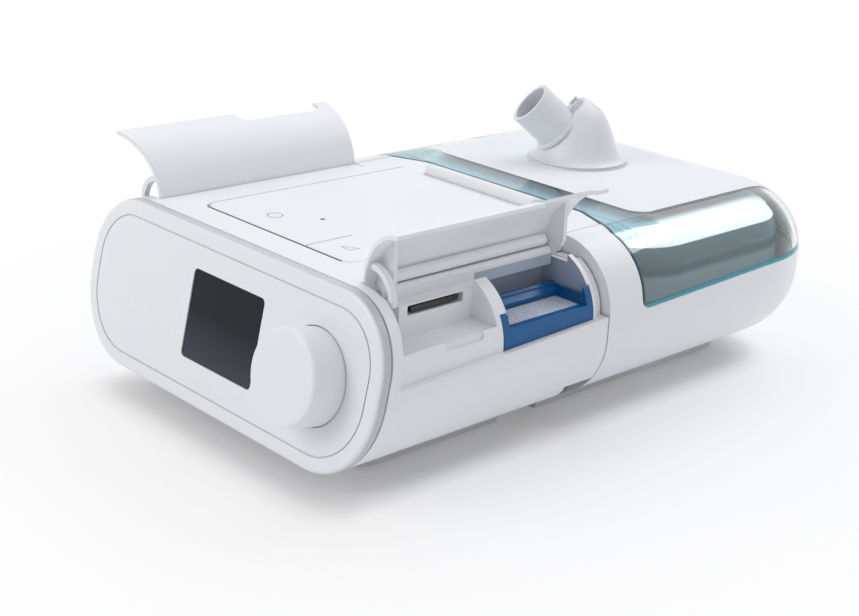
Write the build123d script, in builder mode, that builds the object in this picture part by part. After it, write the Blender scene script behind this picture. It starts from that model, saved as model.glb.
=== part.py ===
"""Bedside breathing-therapy machine with its heated humidifier, as separate sub-parts.

Frame: millimetres, +Z up, +Y towards the rear, +X to the right of someone facing the front.
The origin is on the ground under the middle of the machine. Both side covers are made
closed and then turned to the open position in which the machine is shown.
"""

import os
from math import cos, radians, sin, tan

from build123d import *

os.makedirs("parts", exist_ok=True)

# ---------------------------------------------------------------- body form
body_width = 193.0
body_length = 297.0      # foot of the front face to the rear
body_top = 84.0          # height of the top face
body_floor = 14.0        # underside of the shells, above the recessed tray
top_roll = 28.0          # roll between the top and the sides
bottom_roll = 33.0       # roll between the sides and the underside
rear_corner = 48.0       # plan radius of the rear corners
rake = 11.8              # lean of the front face, degrees
shell_wall = 2.4
unit_length = 131.3      # foot of the front face to the joint with the humidifier
hairline = 0.2           # gap between trim pieces that touch by eye
seam_gap = 0.5           # visible gap between large mouldings
running_gap = 0.3        # gap round pieces that move
pin_play = 0.05          # radial clearance of a running pin

# ---------------------------------------------------------------- front face
fascia_depth = 4.0
gasket_depth = 0.8
gasket_inset = 0.9
fascia_edge = 1.6        # rounded edge of the fascia
border_inset = 6.4       # fine groove that runs round the fascia
groove_width = 0.5
groove_depth = 0.4
screen_x = 1.6
screen_up = 36.7         # centre, measured up the raked face
screen_width = 47.2
screen_height = 37.0
screen_corner = 2.2
screen_glass = 1.5
screen_sunk = 0.5
module_depth = 6.0
module_border = 4.0
dial_inset = 37.5        # middle of the dial, in from the side of the body
dial_up = 35.3
dial_radius = 18.8
dial_height = 14.2
dial_edge = 1.4
dial_rim = 2.2           # thickness of the dial's skirt
dial_face = 3.0          # thickness of the dial's front
dial_travel = 1.0
dish_radius = 25.5       # shallow dish round the dial
dish_depth = 1.6
shaft_radius = 3.0
encoder_size = 14.0
encoder_depth = 7.0

# ---------------------------------------------------------------- side covers and bays
cover_wall = 1.6
seat_depth = 2.5         # depth of the housing's seat for a cover
cover_inset = 28.9       # edge of the deck, where a cover begins
cover_front_depth = 9.7  # behind the raked face, parallel with it
pivot_inset = 26.3
pivot_z = 80.0
open_angle = 97.0
belt_front = 52.2        # height of the seat's lower ledge at its front end
belt_slope = 0.036       # rise of that ledge towards the rear
belt_at = 24.5           # station at which the ledge has its front height
cover_low = 55.5         # height of a closed cover's lower edge
cutout_edge = 63.2       # height of the shorter edge, over the air inlet
cutout_corner = 3.0
card_cutout_from = 94.0  # where the right cover's edge steps up
accessory_cutout_from = 79.0
tab_back = 1.5           # finger tab at the rear end of a cover, behind the arch's front
cheek_wall = 2.0
front_cheek_at = 29.6
cheek_room = 0.6         # room between the rear cheek and the arch
ear_radius = 2.4
pin_radius = 1.2
barrel_radius = 2.0
arm_inner = 10.4         # curved stay of a side cover, about its pivot
arm_outer = 12.8
arm_wall = 2.4
arm_at = 25.0
arm_start = -104.0
arm_sweep = 100.0
bead_radius = 2.3        # stiffening bead along the inner face, beside the hinge
bead_reach = 5.0         # its distance from the pivot
bead_angle = -5.0
bead_end = 4.5           # its rear end lies this far ahead of the arch
trough_radius = 5.1      # hollow of the deck's edge in which the cover's edge turns
trough_depth = 3.5       # its floor, below the pivot
web_inner = 1.0          # web that carries the hinge barrel, each way from the pivot
web_outer = 2.2
hinge_skin = 2.0         # floor of the trough over the filter bay
slot_depth = 8.5         # slot for the rear cheek, below the pivot
lip_width = 1.6
pocket_back = 32.2       # pocket for a cover's front cheek and stay
pocket_reach = 3.8       # its inner side, from the pivot
pocket_floor = 60.0
block_inset = 36.5       # inner side of the solid blocks that hold the bays
block_floor = 46.0
block_top_floor = 58.0
block_step_inset = 28.0
rib_front = 70.0
rib_back = 76.5
arch_span = 8.3          # arch behind the filter bay, as far as the joint
channel_span = 5.8       # drain channel behind the arch, as far as the joint
channel_depth = 2.2
bay_wall_inset = 17.9    # wall behind the card bay
bay_floor = 10.2         # floor of the card bay, above the ledge
bay_lip = 11.5           # its outer lip, above the ledge
filter_wall_inset = 31.5
filter_floor = 57.2

# ---------------------------------------------------------------- card and filter
slot_from = 36.4
slot_length = 28.4
slot_floor = 71.9
slot_height = 3.9
socket_wall = 1.2
card_width = 24.0
card_length = 32.0
card_thick = 2.1
card_recess = 0.6        # the card sits this far inside the slot
card_play = 0.15
card_corner = 2.5
finger_from = 42.8       # oblong finger groove below the card slot
finger_length = 19.9
finger_depth = 1.6
finger_height = 4.4
frame_play = 0.35        # gap between the filter's frame and its bay
frame_wall = 1.8
frame_flange = 4.0
frame_post = 3.4
frame_post_top = 67.6
frame_sill_top = 62.3
frame_back_inset = 24.5
frame_side_top = 66.0
flange_side = 3.4        # the flange is wider than the tray at each end
frame_bar_low = 62.0
frame_bar_top = 67.0
media_thick = 3.2
media_ledge = 1.2
media_rim = 2.0
media_play = 0.2

intake_inset = 6.0       # air opening in the filter bay's floor, inside the frame
module_play = 0.3        # gap round the accessory module in its bay
module_top = 71.0
module_recess = 1.2
module_edge = 2.0
module_port_length = 22.0
module_port_height = 5.0
module_port_depth = 3.0

# ---------------------------------------------------------------- top deck
deck_pan = 4.4           # thickness of the deck under the keys
deck_tongue = 3.0
tongue_end = unit_length + 30.3
tongue_inset = 29.6
panel_left = -50.0
panel_right = 47.4
panel_front = 34.3
panel_back = unit_length + 14.3
panel_thick = 1.4
panel_travel = 1.4
panel_corner = 6.0
panel_bevel = 0.9
panel_front_gap = 0.8
panel_side_gap = 0.15
ramp_left = 19.0
ramp_back = 59.0
ramp_corner = 2.4
lens_radius = 1.1
lens_x = -4.4
lens_at = 62.4

# ---------------------------------------------------------------- blower and electronics
blower_x = 12.0
blower_at = 78.0
blower_radius = 33.0
blower_floor = 24.0
blower_height = 34.0
blower_wall = 2.0
blower_eye = 13.0
mount_radius = 4.5
impeller_radius = 24.0
impeller_hub = 8.0
impeller_height = 11.0
impeller_disc = 1.5
impeller_gap = 1.5
vane_count = 11
vane_rake = 35.0
vane_thick = 1.2
motor_radius = 15.0
motor_height = 15.0
motor_shaft_radius = 1.5
duct_radius = 9.0
duct_wall = 1.6
board_x = -43.0
board_at = 78.0
board_width = 44.0
board_length = 84.0
board_part_height = 6.0
board_chip = 12.0
board_chip_x = 14.0      # places of the board's parts, from its middle
board_chip_y = 20.0
board_plug_length = 18.0
board_plug_width = 8.0
board_plug_x = 12.0
board_plug_y = 22.0
board_can_radius = 3.5
board_can_x = -16.0
board_can_y = 8.0
board_thick = 1.6
board_floor = 19.0
boss_radius = 3.5
screw_radius = 1.5
screw_head = 3.0
screw_head_height = 1.8
outlet_x = 36.0
outlet_z = 41.0
outlet_radius = 10.0
outlet_wall = 2.4
port_wall = 2.0

# ---------------------------------------------------------------- humidifier
window_front = unit_length + 20.7
window_brow = 10.0       # how far the window's edge steps back behind the latch
brow_inner = 50.0
brow_outer_inset = 20.5
window_edge_front = 54.4  # height of the window's lower edge at its front corner
window_slope = 0.030
window_corner = 5.0
top_skin = 1.2           # white outer skin, half of the cover's wall
top_inset = 29.5
top_front = unit_length + 50.2
top_corner = 9.0
hinge_radius = 4.2
hinge_half = 40.0
knuckle_width = 22.0
hinge_pin_radius = 1.5
hinge_pin_length = 16.0
hinge_clear = 0.3
cover_open = 70.0
latch_half = 34.5
latch_front = unit_length + 15.7
latch_wall = 3.2
latch_rise = 4.5
latch_back = unit_length + 29.8
latch_tail = 0.4         # height of its rear edge above the deck
latch_travel = 1.6
latch_bevel = 0.8
stem_x = 22.0            # stems of the latch, through slots in the base
stem_width = 6.0
stem_thick = 3.0
stem_at = unit_length + 22.7
stem_foot = 74.5
stem_hook = 1.2
front_gap = 0.6          # gap ahead of the opening cover
seal_size = 1.6

tank_inset = 13.0
tank_front = unit_length + 28.7
tank_rear_gap = 11.0
tank_floor = 31.0
tank_joint = 71.0        # height where the tank's lid meets its base
tank_top = 78.6
tank_corner = 34.0
tank_roll = 16.0
tank_lower_roll = 18.0
tank_wall = 1.8
chimney_radius = 12.6
chimney_top = 79.4
heater_radius = 46.0
heater_thick = 2.0
heater_foot = 40.0       # inner radius of the ring that carries the heater
heater_board_size = 40.0
heater_part_length = 20.0
heater_part_width = 12.0
heater_part_height = 4.0
inlet_x = -42.0
inlet_z = 42.0
inlet_width = 14.0
inlet_height = 12.0
inlet_depth = 8.3
inlet_set = 2.2          # the inlet's face lies this far ahead of the rearmost point
inlet_bore = 3.2
inlet_pin_radius = 1.0

# ---------------------------------------------------------------- elbow
elbow_x = -14.0
elbow_behind = 6.5       # its middle, behind the middle of the tank
ring_radius = 24.6
ring_flange = 2.4
ring_proud = 0.8
spigot_radius = 12.6
spigot_wall = 2.2
elbow_heading = 32.0     # swivelled left of straight ahead, degrees
elbow_rise = 41.0
port_radius = 11.0
port_bore = 9.2
port_length = 18.5
mouth_ahead = 25.8       # mouth of the port, ahead of and above the ring
mouth_above = 28.0
hood_profile = ((24.2, 0.8), (20.5, 2.5), (18.6, 6.0), (17.0, 10.5), (14.0, 18.0),
                (10.5, 23.5), (7.7, 26.0), (0, 30.5))    # radius and height above the ring
ring_edge = 0.6
tube_drop = 3.8          # the ring's tube reaches this far below the top face
seal_lip = 0.5
collar_depth = 1.5
bore_length = 24.0
spigot_bore_height = 16.0
connector_up = 15.2
connector_width = 7.0
connector_height = 5.0
connector_length = 2.5

# ---------------------------------------------------------------- underside
tray_inset = 33.5
tray_taper = 22.0
tray_front = 27.0
tray_rear_inset = 30.0
tray_corner = 14.0
foot_radius = 8.0
foot_height = 2.6
foot_sunk = 0.6
foot_edge = 0.5
foot_screw_sunk = 1.0    # heads of the tray's screws, above its underside
foot_inset = 50.5
foot_margin = 14.0
tray_floor = 2.0
tray_wall = 2.0
tray_boss = 4.5
tray_screw_x = 34.0
tray_screw_margin = 22.0
grip_length = 23.0       # finger recesses at the rear corners of the front tray
grip_width = 17.0
grip_corner = 8.0

front = -(body_length - (dial_height * cos(radians(rake))
                         + (dial_radius - dial_up) * sin(radians(rake)))) / 2
back = front + body_length
seam = front + unit_length
half_width = body_width / 2
dial_x = half_width - dial_inset
cover_edge_x = half_width - cover_inset
pivot_x = half_width - pivot_inset
pocket_x = pivot_x - pocket_reach
block_x = half_width - block_inset
block_step_x = half_width - block_step_inset
bay_wall_x = half_width - bay_wall_inset
filter_wall_x = half_width - filter_wall_inset
frame_back_x = half_width - frame_back_inset
tongue_half = half_width - tongue_inset
brow_outer = half_width - brow_outer_inset
top_half = half_width - top_inset
tank_half = half_width - tank_inset
tray_top_half = half_width - tray_inset
foot_x = half_width - foot_inset
arch_front = unit_length - arch_span
arch_back = unit_length - channel_span
rear_cheek_at = arch_front - cheek_room - cheek_wall
tab_from = arch_front + tab_back

FACE = Plane(origin=(0, front, body_floor), x_dir=(1, 0, 0),
             z_dir=(0, -cos(radians(rake)), sin(radians(rake))))


def section_outline(inset, plane):
    """Sketch of the rolled cross-section, drawn in all round by inset."""
    w, top, floor = half_width - inset, body_top - inset, body_floor + inset
    rt, rb = top_roll - inset, bottom_roll - inset
    with BuildSketch(plane) as outline:
        with BuildLine():
            Line((rt - w, top), (w - rt, top))
            CenterArc((w - rt, top - rt), rt, 0, 90)
            Line((w, top - rt), (w, floor + rb))
            CenterArc((w - rb, floor + rb), rb, 270, 90)
            Line((w - rb, floor), (rb - w, floor))
            CenterArc((rb - w, floor + rb), rb, 180, 90)
            Line((-w, floor + rb), (-w, top - rt))
            CenterArc((rt - w, top - rt), rt, 90, 90)
        make_face()
    return outline.sketch


def body_prism(y_from, y_to, inset=0.0):
    """Length of the rolled cross-section between two stations."""
    with BuildPart() as prism:
        extrude(section_outline(inset, Plane.XZ.offset(-y_to)), amount=y_to - y_from)
    return prism.part


def rear_form(y_from, inset=0.0):
    """Humidifier half of the body: the same rolls, carried round the rear corners."""
    w, rear = half_width - inset, back - inset
    with BuildPart() as form:
        with BuildSketch(Plane.XY.offset(body_floor + inset)) as plan:
            with Locations((0, (y_from + rear) / 2)):
                Rectangle(2 * w, rear - y_from)
            fillet(plan.vertices().group_by(Axis.Y)[-1], rear_corner - inset)
        extrude(amount=body_top - body_floor - 2 * inset)
        for end, roll in ((-1, top_roll), (0, bottom_roll)):
            rim = form.faces().sort_by(Axis.Z)[end].edges()
            fillet([e for e in rim if e.center().Y > y_from + 0.1], roll - inset)
    return form.part


def belt(y):
    """Height of the side seats' lower ledge at a station."""
    return belt_front + belt_slope * (y - front - belt_at)


def window_edge(y):
    """Height of the humidifier window's lower edge at a station."""
    return window_edge_front + window_slope * (y - front - window_front)


def face_station(z, depth):
    """Station of the plane that lies parallel with the raked face, depth behind it."""
    return front + (z - body_floor) * tan(radians(rake)) + depth / cos(radians(rake))


def band(x_from, x_to, *yz):
    """Prism across the machine over an outline drawn from the side."""
    with BuildPart() as prism:
        with BuildSketch(Plane.YZ.offset(x_from)):
            with BuildLine():
                Polyline(*yz, close=True)
            make_face()
        extrude(amount=x_to - x_from)
    return prism.part


def cover_zone(gap, x_from):
    """Region of one side cover, drawn in by gap along its front, lower and rear edges."""
    high, rear_y = body_top + 5, seam - gap
    low_front = belt(front + belt_at)
    y_low = face_station(low_front, cover_front_depth + gap)
    y_high = face_station(high, cover_front_depth + gap)
    return band(x_from, half_width + 5, (y_low, belt(y_low) + gap),
                (rear_y, belt(rear_y) + gap), (rear_y, high), (y_high, high))


def round_bar(x, z, radius, y_from, y_to):
    """Bar along the machine."""
    with BuildPart() as bar:
        with BuildSketch(Plane.XZ.offset(-y_to)):
            with Locations((x, z)):
                Circle(radius)
        extrude(amount=y_to - y_from)
    return bar.part


def finish(part, name):
    """Label a piece and write it."""
    part.label = name
    export_step(part, f"parts/{name}.step")


def left_hand(part):
    """The same piece for the left side."""
    return mirror(part, about=Plane.YZ, mode=Mode.PRIVATE)


# ================================================================ front face
def face_outline(inset):
    """Outline of the raked face, drawn in by inset."""
    height = (body_top - body_floor) / cos(radians(rake))
    w, top, floor = half_width - inset, height - inset, inset
    rt, rb = top_roll - inset, bottom_roll - inset
    with BuildSketch(FACE) as outline:
        with BuildLine():
            Line((rt - w, top), (w - rt, top))
            CenterArc((w - rt, top - rt), rt, 0, 90)
            Line((w, top - rt), (w, floor + rb))
            CenterArc((w - rb, floor + rb), rb, 270, 90)
            Line((w - rb, floor), (rb - w, floor))
            CenterArc((rb - w, floor + rb), rb, 180, 90)
            Line((-w, floor + rb), (-w, top - rt))
            CenterArc((rt - w, top - rt), rt, 90, 90)
        make_face()
    return outline.sketch


DIAL = FACE * Pos(dial_x, dial_up, 0)
SCREEN = FACE * Pos(screen_x, screen_up, 0)
dial_plane = Plane(DIAL)
screen_plane = Plane(SCREEN)
dish_sphere = (dish_radius**2 + dish_depth**2) / (2 * dish_depth)
well_depth = dish_depth + dial_travel
skirt_base = -dish_depth + 0.2

# Front panel: one raked moulding with a rounded edge, a fine border groove, the screen
# aperture, and a shallow dish with a well that the dial's skirt dips into.
with BuildPart() as front_fascia:
    add(body_prism(front - 5, front + 30))
    split(bisect_by=FACE, keep=Keep.BOTTOM)
    split(bisect_by=FACE.offset(-fascia_depth), keep=Keep.TOP)
    fillet(front_fascia.faces().filter_by(lambda f: f.normal_at().dot(FACE.z_dir) > 0.99)
           .edges(), fascia_edge)
    extrude(face_outline(border_inset) - face_outline(border_inset + groove_width),
            amount=-groove_depth, mode=Mode.SUBTRACT)
    with Locations(DIAL * Pos(0, 0, dish_sphere - dish_depth)):
        Sphere(dish_sphere, mode=Mode.SUBTRACT)
    with BuildSketch(dial_plane):
        Circle(dial_radius + running_gap)
    extrude(amount=-well_depth, mode=Mode.SUBTRACT)
    with BuildSketch(dial_plane):
        Circle(shaft_radius + running_gap)
    extrude(amount=-fascia_depth, mode=Mode.SUBTRACT)
    with BuildSketch(screen_plane):
        RectangleRounded(screen_width, screen_height, screen_corner)
    extrude(amount=-(screen_sunk + screen_glass), mode=Mode.SUBTRACT)
    with BuildSketch(screen_plane):
        RectangleRounded(screen_width - 2 * module_border, screen_height - 2 * module_border,
                         screen_corner)
    extrude(amount=-fascia_depth, mode=Mode.SUBTRACT)
finish(front_fascia.part, "front_fascia")

# Dark soft gasket between the front panel and the housing, a little below the surface.
with BuildPart() as fascia_gasket:
    with BuildSketch(FACE.offset(-fascia_depth)):
        add(face_outline(gasket_inset).moved(FACE.location.inverse()))
        add(face_outline(gasket_inset + shell_wall).moved(FACE.location.inverse()),
            mode=Mode.SUBTRACT)
    extrude(amount=-gasket_depth)
finish(fascia_gasket.part, "fascia_gasket")

# Hard-coated screen window, set just under the front surface.
with BuildPart() as display_window:
    with BuildSketch(screen_plane.offset(-screen_sunk)):
        RectangleRounded(screen_width - 2 * hairline, screen_height - 2 * hairline,
                         screen_corner - hairline)
    extrude(amount=-screen_glass)
finish(display_window.part, "display_window")

# Colour display module, screwed to the back of the front panel.
with BuildPart() as display_module:
    with BuildSketch(screen_plane.offset(-fascia_depth)):
        Rectangle(screen_width, screen_height)
    extrude(amount=-module_depth)
finish(display_module.part, "display_module")

# Encoder can on the back of the front panel, bored for the dial's shaft.
with BuildPart() as dial_encoder:
    with BuildSketch(dial_plane.offset(-fascia_depth)):
        RectangleRounded(encoder_size, encoder_size, 1.0)
        Circle(shaft_radius + pin_play, mode=Mode.SUBTRACT)
    extrude(amount=-encoder_depth)
finish(dial_encoder.part, "dial_encoder")

# Shaft of the encoder: it slides in when the dial is pushed, and the dial turns on it.
with BuildPart() as dial_shaft:
    with BuildSketch(dial_plane.offset(-fascia_depth - encoder_depth + dial_travel + 0.5)):
        Circle(shaft_radius)
    extrude(amount=dial_height - dial_face + fascia_depth + encoder_depth - dial_travel - 0.5
            - pin_play)
finish(dial_shaft.part, "dial_shaft")

# Dial: a hollow cap with a softly rounded edge and a hub that fits the shaft.
with BuildPart() as control_dial:
    with BuildSketch(dial_plane.offset(skirt_base)):
        Circle(dial_radius)
    extrude(amount=dial_height - skirt_base)
    fillet(control_dial.faces().filter_by(lambda f: f.normal_at().dot(FACE.z_dir) > 0.99)
           .edges(), dial_edge)
    with BuildSketch(dial_plane.offset(skirt_base)):
        Circle(dial_radius - dial_rim)
        Circle(shaft_radius + dial_rim, mode=Mode.SUBTRACT)
    extrude(amount=dial_height - skirt_base - dial_face, mode=Mode.SUBTRACT)
    with BuildSketch(dial_plane.offset(skirt_base)):
        Circle(shaft_radius + pin_play)
    extrude(amount=dial_height - skirt_base - dial_face, mode=Mode.SUBTRACT)
finish(control_dial.part, "control_dial")


# ================================================================ side covers
cheek_outline = ((-1.8, -1.4), (0.5, -3.9), (2.2, -6.8), (5.0, -8.2), (21.9, -10.2),
                 (27.0, -6.0), (15.0, 6.0), (-1.0, 6.0), (-2.3, 0.6))    # about the pivot
bead_x = pivot_x + bead_reach * cos(radians(bead_angle))
bead_z = pivot_z + bead_reach * sin(radians(bead_angle))
bead_to = front + arch_front - bead_end - bead_radius


def cover_skin(y_cut_from):
    """Skin of a right side cover, with the edge stepped up over the air inlet."""
    y_front, y_rear = front + y_cut_from, front + tab_from
    with BuildPart() as skin:
        add(body_prism(front, seam))
        add(body_prism(front - 1, seam + 1, cover_wall), mode=Mode.SUBTRACT)
        add(cover_zone(running_gap, cover_edge_x), mode=Mode.INTERSECT)
        with BuildSketch(Plane.YZ.offset(pivot_x)):
            with BuildLine():
                Polyline((front, block_floor), (front, cover_low), (y_front, cover_low),
                         (y_front, cutout_edge - cutout_corner),
                         (y_front + cutout_corner, cutout_edge),
                         (y_rear - cutout_corner, cutout_edge),
                         (y_rear, cutout_edge - cutout_corner), (y_rear, cover_low),
                         (seam, cover_low), (seam, block_floor), close=True)
            make_face()
        extrude(amount=half_width, mode=Mode.SUBTRACT)
    return skin.part


def cheek(y):
    """Upright plate inside a cover, from its skin to the ear round the pivot."""
    with BuildPart() as plate:
        with BuildSketch(Plane.XZ.offset(-y - cheek_wall)):
            with BuildLine():
                Polyline(*[(pivot_x + x, pivot_z + z) for x, z in cheek_outline], close=True)
            make_face()
            with Locations((pivot_x, pivot_z)):
                Circle(ear_radius)
        extrude(amount=cheek_wall)
        add(body_prism(y - 1, y + cheek_wall + 1, cover_wall / 2), mode=Mode.INTERSECT)
    return plate.part


def stay():
    """Curved arm that runs in the pocket ahead of the bay."""
    y = front + arm_at
    with BuildPart() as arm:
        with BuildSketch(Plane.XZ.offset(-y - arm_wall)):
            with BuildLine():
                CenterArc((pivot_x, pivot_z), arm_inner, arm_start, arm_sweep)
                CenterArc((pivot_x, pivot_z), arm_outer, arm_start, arm_sweep)
                for a in (radians(arm_start), radians(arm_start + arm_sweep)):
                    Line((pivot_x + arm_inner * cos(a), pivot_z + arm_inner * sin(a)),
                         (pivot_x + arm_outer * cos(a), pivot_z + arm_outer * sin(a)))
            make_face()
        extrude(amount=arm_wall)
        add(body_prism(y - 1, y + arm_wall + 1, cover_wall / 2), mode=Mode.INTERSECT)
    return arm.part


def side_cover(y_cut_from):
    """Right side cover, closed: skin, bead, two cheeks with pierced ears, curved stay."""
    with BuildPart() as cover:
        add(cover_skin(y_cut_from))
        add(round_bar(bead_x, bead_z, bead_radius, front + front_cheek_at, bead_to))
        with Locations((bead_x, bead_to, bead_z)):
            Sphere(bead_radius)
        add(cheek(front + front_cheek_at))
        add(cheek(front + rear_cheek_at))
        add(stay())
        add(round_bar(pivot_x, pivot_z, pin_radius + pin_play, front, seam),
            mode=Mode.SUBTRACT)
    return cover.part


right_hinge = Axis((pivot_x, 0, pivot_z), (0, 1, 0))
left_hinge = Axis((-pivot_x, 0, pivot_z), (0, 1, 0))

# Right cover, over the card and the air filter.
with BuildPart() as card_cover:
    add(side_cover(card_cutout_from).rotate(right_hinge, -open_angle))
finish(card_cover.part, "card_cover")

# Left cover, over the spare bay and the accessory module.
with BuildPart() as accessory_cover:
    add(left_hand(side_cover(accessory_cutout_from)).rotate(left_hinge, open_angle))
finish(accessory_cover.part, "accessory_cover")

# Hinge pins of the two covers, held in the housing's barrels.
pin_from = front + front_cheek_at - running_gap
pin_to = front + rear_cheek_at + cheek_wall + running_gap
with BuildPart() as card_cover_pin:
    add(round_bar(pivot_x, pivot_z, pin_radius, pin_from, pin_to))
finish(card_cover_pin.part, "card_cover_pin")
with BuildPart() as accessory_cover_pin:
    add(round_bar(-pivot_x, pivot_z, pin_radius, pin_from, pin_to))
finish(accessory_cover_pin.part, "accessory_cover_pin")


# ================================================================ therapy unit's housing
def block_zone():
    """Region of the right side where the housing stays solid round its bays."""
    behind = cover_front_depth - shell_wall
    y_top, y_mid, y_low = (face_station(z, behind)
                           for z in (body_top + 5, block_top_floor, block_floor))
    with BuildPart() as zone:
        add(band(block_x, half_width, (y_mid, block_top_floor), (seam, block_top_floor),
                 (seam, body_top + 5), (y_top, body_top + 5)))
        add(band(block_step_x, half_width, (y_low, block_floor), (seam, block_floor),
                 (seam, block_top_floor), (y_mid, block_top_floor)))
        add(band(block_x, half_width, (front + rib_front - shell_wall, block_floor),
                 (seam, block_floor), (seam, block_top_floor),
                 (front + rib_front - shell_wall, block_top_floor)))
    return zone.part


def box_between(x_from, x_to, y_from, y_to, z_from, z_to):
    """Box given by its sides."""
    with BuildPart() as block:
        with BuildSketch(Plane.XY.offset(z_from)):
            with Locations(((x_from + x_to) / 2, (y_from + y_to) / 2)):
                Rectangle(x_to - x_from, y_to - y_from)
        extrude(amount=z_to - z_from)
    return block.part


def seat_cut():
    """What the right side loses under its cover: the cover's seat and the drain channel."""
    with BuildPart() as cut:
        add(body_prism(front, seam + 1))
        add(body_prism(front - 1, seam + 2, seat_depth), mode=Mode.SUBTRACT)
        add(body_prism(front + arch_back, seam + 1, seat_depth - hairline))
        add(body_prism(front + arch_back - 1, seam + 2, seat_depth + channel_depth),
            mode=Mode.SUBTRACT)
        add(cover_zone(0, cover_edge_x), mode=Mode.INTERSECT)
    return cut.part


def trough():
    """Hollow along the right edge of the deck, in which the cover's edge turns."""
    x_low, high = pivot_x - trough_radius, body_top + 5
    with BuildPart() as hollow:
        add(round_bar(pivot_x, pivot_z, trough_radius, front, seam))
        add(box_between(x_low, pivot_x, front, seam, pivot_z - trough_depth, high),
            mode=Mode.INTERSECT)
        add(box_between(pivot_x, bay_wall_x, front, seam, pivot_z - trough_depth, high))
        add(box_between(pivot_x + pivot_z - body_top - running_gap, pivot_x, front, seam,
                        pivot_z, high))
        add(cover_zone(-2 * running_gap, x_low), mode=Mode.INTERSECT)
    return hollow.part


def barrel():
    """Right hinge barrel on its web, let into the trough."""
    y_from = front + front_cheek_at + cheek_wall + running_gap
    y_to = front + rear_cheek_at - running_gap
    with BuildPart() as bar:
        add(round_bar(pivot_x, pivot_z, barrel_radius, y_from, y_to))
        add(box_between(pivot_x - web_inner, pivot_x + web_outer, y_from, y_to,
                        web_floor, pivot_z))
        add(round_bar(pivot_x, pivot_z, pin_radius + pin_play, y_from, y_to),
            mode=Mode.SUBTRACT)
    return bar.part


web_floor = pivot_z - trough_depth - hinge_skin
lip_x = half_width - seat_depth - lip_width
flange_back = half_width - seat_depth - frame_flange
intake_width = flange_back - frame_back_x - 2 * intake_inset
intake_length = arch_front - rib_back - 2 * intake_inset
intake_x = (flange_back + frame_back_x) / 2
intake_y = front + (rib_back + arch_front) / 2


def open_front(x_from, x_to, y_to, floor_from, floor_to):
    """Prism behind the raked front edge of the seat, open upwards, with a sloped floor."""
    high = body_top + 5
    return band(x_from, x_to, (face_station(floor_from, cover_front_depth), floor_from),
                (y_to, floor_to), (y_to, high),
                (face_station(high, cover_front_depth), high))


def bay_cut():
    """Bays of the right side, the pocket at the front and the slot for the rear cheek."""
    y0, y1, y2 = front + belt_at, front + rib_front, front + pocket_back
    high, ear_x = body_top + 5, pivot_x - ear_radius - running_gap
    with BuildPart() as cut:
        add(open_front(bay_wall_x, lip_x, y1, belt(y0) + bay_floor, belt(y1) + bay_floor))
        add(open_front(lip_x, half_width, y1, belt(y0) + bay_lip, belt(y1) + bay_lip))
        add(open_front(ear_x, bay_wall_x, y2, pocket_floor, pocket_floor))
        add(box_between(pocket_x, bay_wall_x, front + arm_at - 2 * running_gap, y2,
                        pocket_floor, web_floor))
        add(box_between(filter_wall_x, half_width, front + rib_back, front + arch_front,
                        filter_floor, web_floor))
        add(box_between(pivot_x + web_outer, half_width, front + rib_back,
                        front + arch_front, filter_floor, high))
        add(box_between(ear_x, half_width, front + rear_cheek_at - running_gap,
                        front + arch_front, pivot_z - slot_depth, high))
    return cut.part


def flange_cut():
    """Recess in front of the right rear bay for the flange of the filter's frame."""
    y0 = front + rib_back - flange_side - frame_play
    y1 = front + arch_front + 1.2
    return band(flange_back - frame_play, half_width, (y0, belt(y0)), (y1, belt(y1)),
                (y1, post_top(y1) + 2 * running_gap), (y0, post_top(y0) + 2 * running_gap))


def post_top(y):
    """Height of the tops of the frame's posts at a station."""
    return frame_post_top + belt_slope * (y - front - rib_back)


def sides(make):
    """A right-hand piece with its left-hand twin."""
    piece = make()
    with BuildPart() as both:
        add(piece)
        add(left_hand(piece))
    return both.part


def housing_cavity():
    """Hollow of the therapy unit's shell."""
    with BuildPart() as cavity:
        add(body_prism(front - 5, seam - shell_wall, shell_wall))
        add(box_between(-half_width, half_width, front - 6, seam, body_top - deck_pan,
                        body_top), mode=Mode.SUBTRACT)
        add(sides(block_zone), mode=Mode.SUBTRACT)
    return cavity.part


def key_outline(plan, gap):
    """Outline of a key seen from above, grown by gap on its sides and in front."""
    left, right, y_front, y_back, left_corner, right_corner = plan
    with BuildSketch(Plane.XY) as key:
        with Locations(((left + right) / 2, (y_front - gap[1] + y_back) / 2)):
            Rectangle(right - left + 2 * gap[0], y_back - y_front + gap[1])
        fillet(key.vertices().group_by(Axis.Y)[0].sort_by(Axis.X)[0], left_corner + gap[0])
        fillet(key.vertices().sort_by(Axis.X)[-2:].sort_by(Axis.Y)[0],
               right_corner + gap[0])
    return key.sketch


panel_plan = (panel_left, panel_right, front + panel_front, front + panel_back,
              panel_corner, panel_corner)
ramp_plan = (ramp_left, panel_right - panel_side_gap, front + panel_front,
             front + ramp_back, ramp_corner, panel_corner)
key_floor = body_top - panel_thick - panel_travel
card_x = bay_wall_x - card_recess - card_length
socket_floor = slot_floor + (slot_height - card_thick) / 2
socket_at = front + slot_from + slot_length / 2
board_corners = [(board_x + i * (board_width / 2 - boss_radius),
                  front + board_at + j * (board_length / 2 - boss_radius))
                 for i in (-1, 1) for j in (-1, 1)]
front_screws_at = [(side * tray_screw_x, y) for side in (-1, 1)
                   for y in (front + tray_front + tray_screw_margin,
                             seam - tray_screw_margin)]
tongue_brow = window_front + window_brow * (brow_outer - tongue_half) / (brow_outer
                                                                         - brow_inner)

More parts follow.
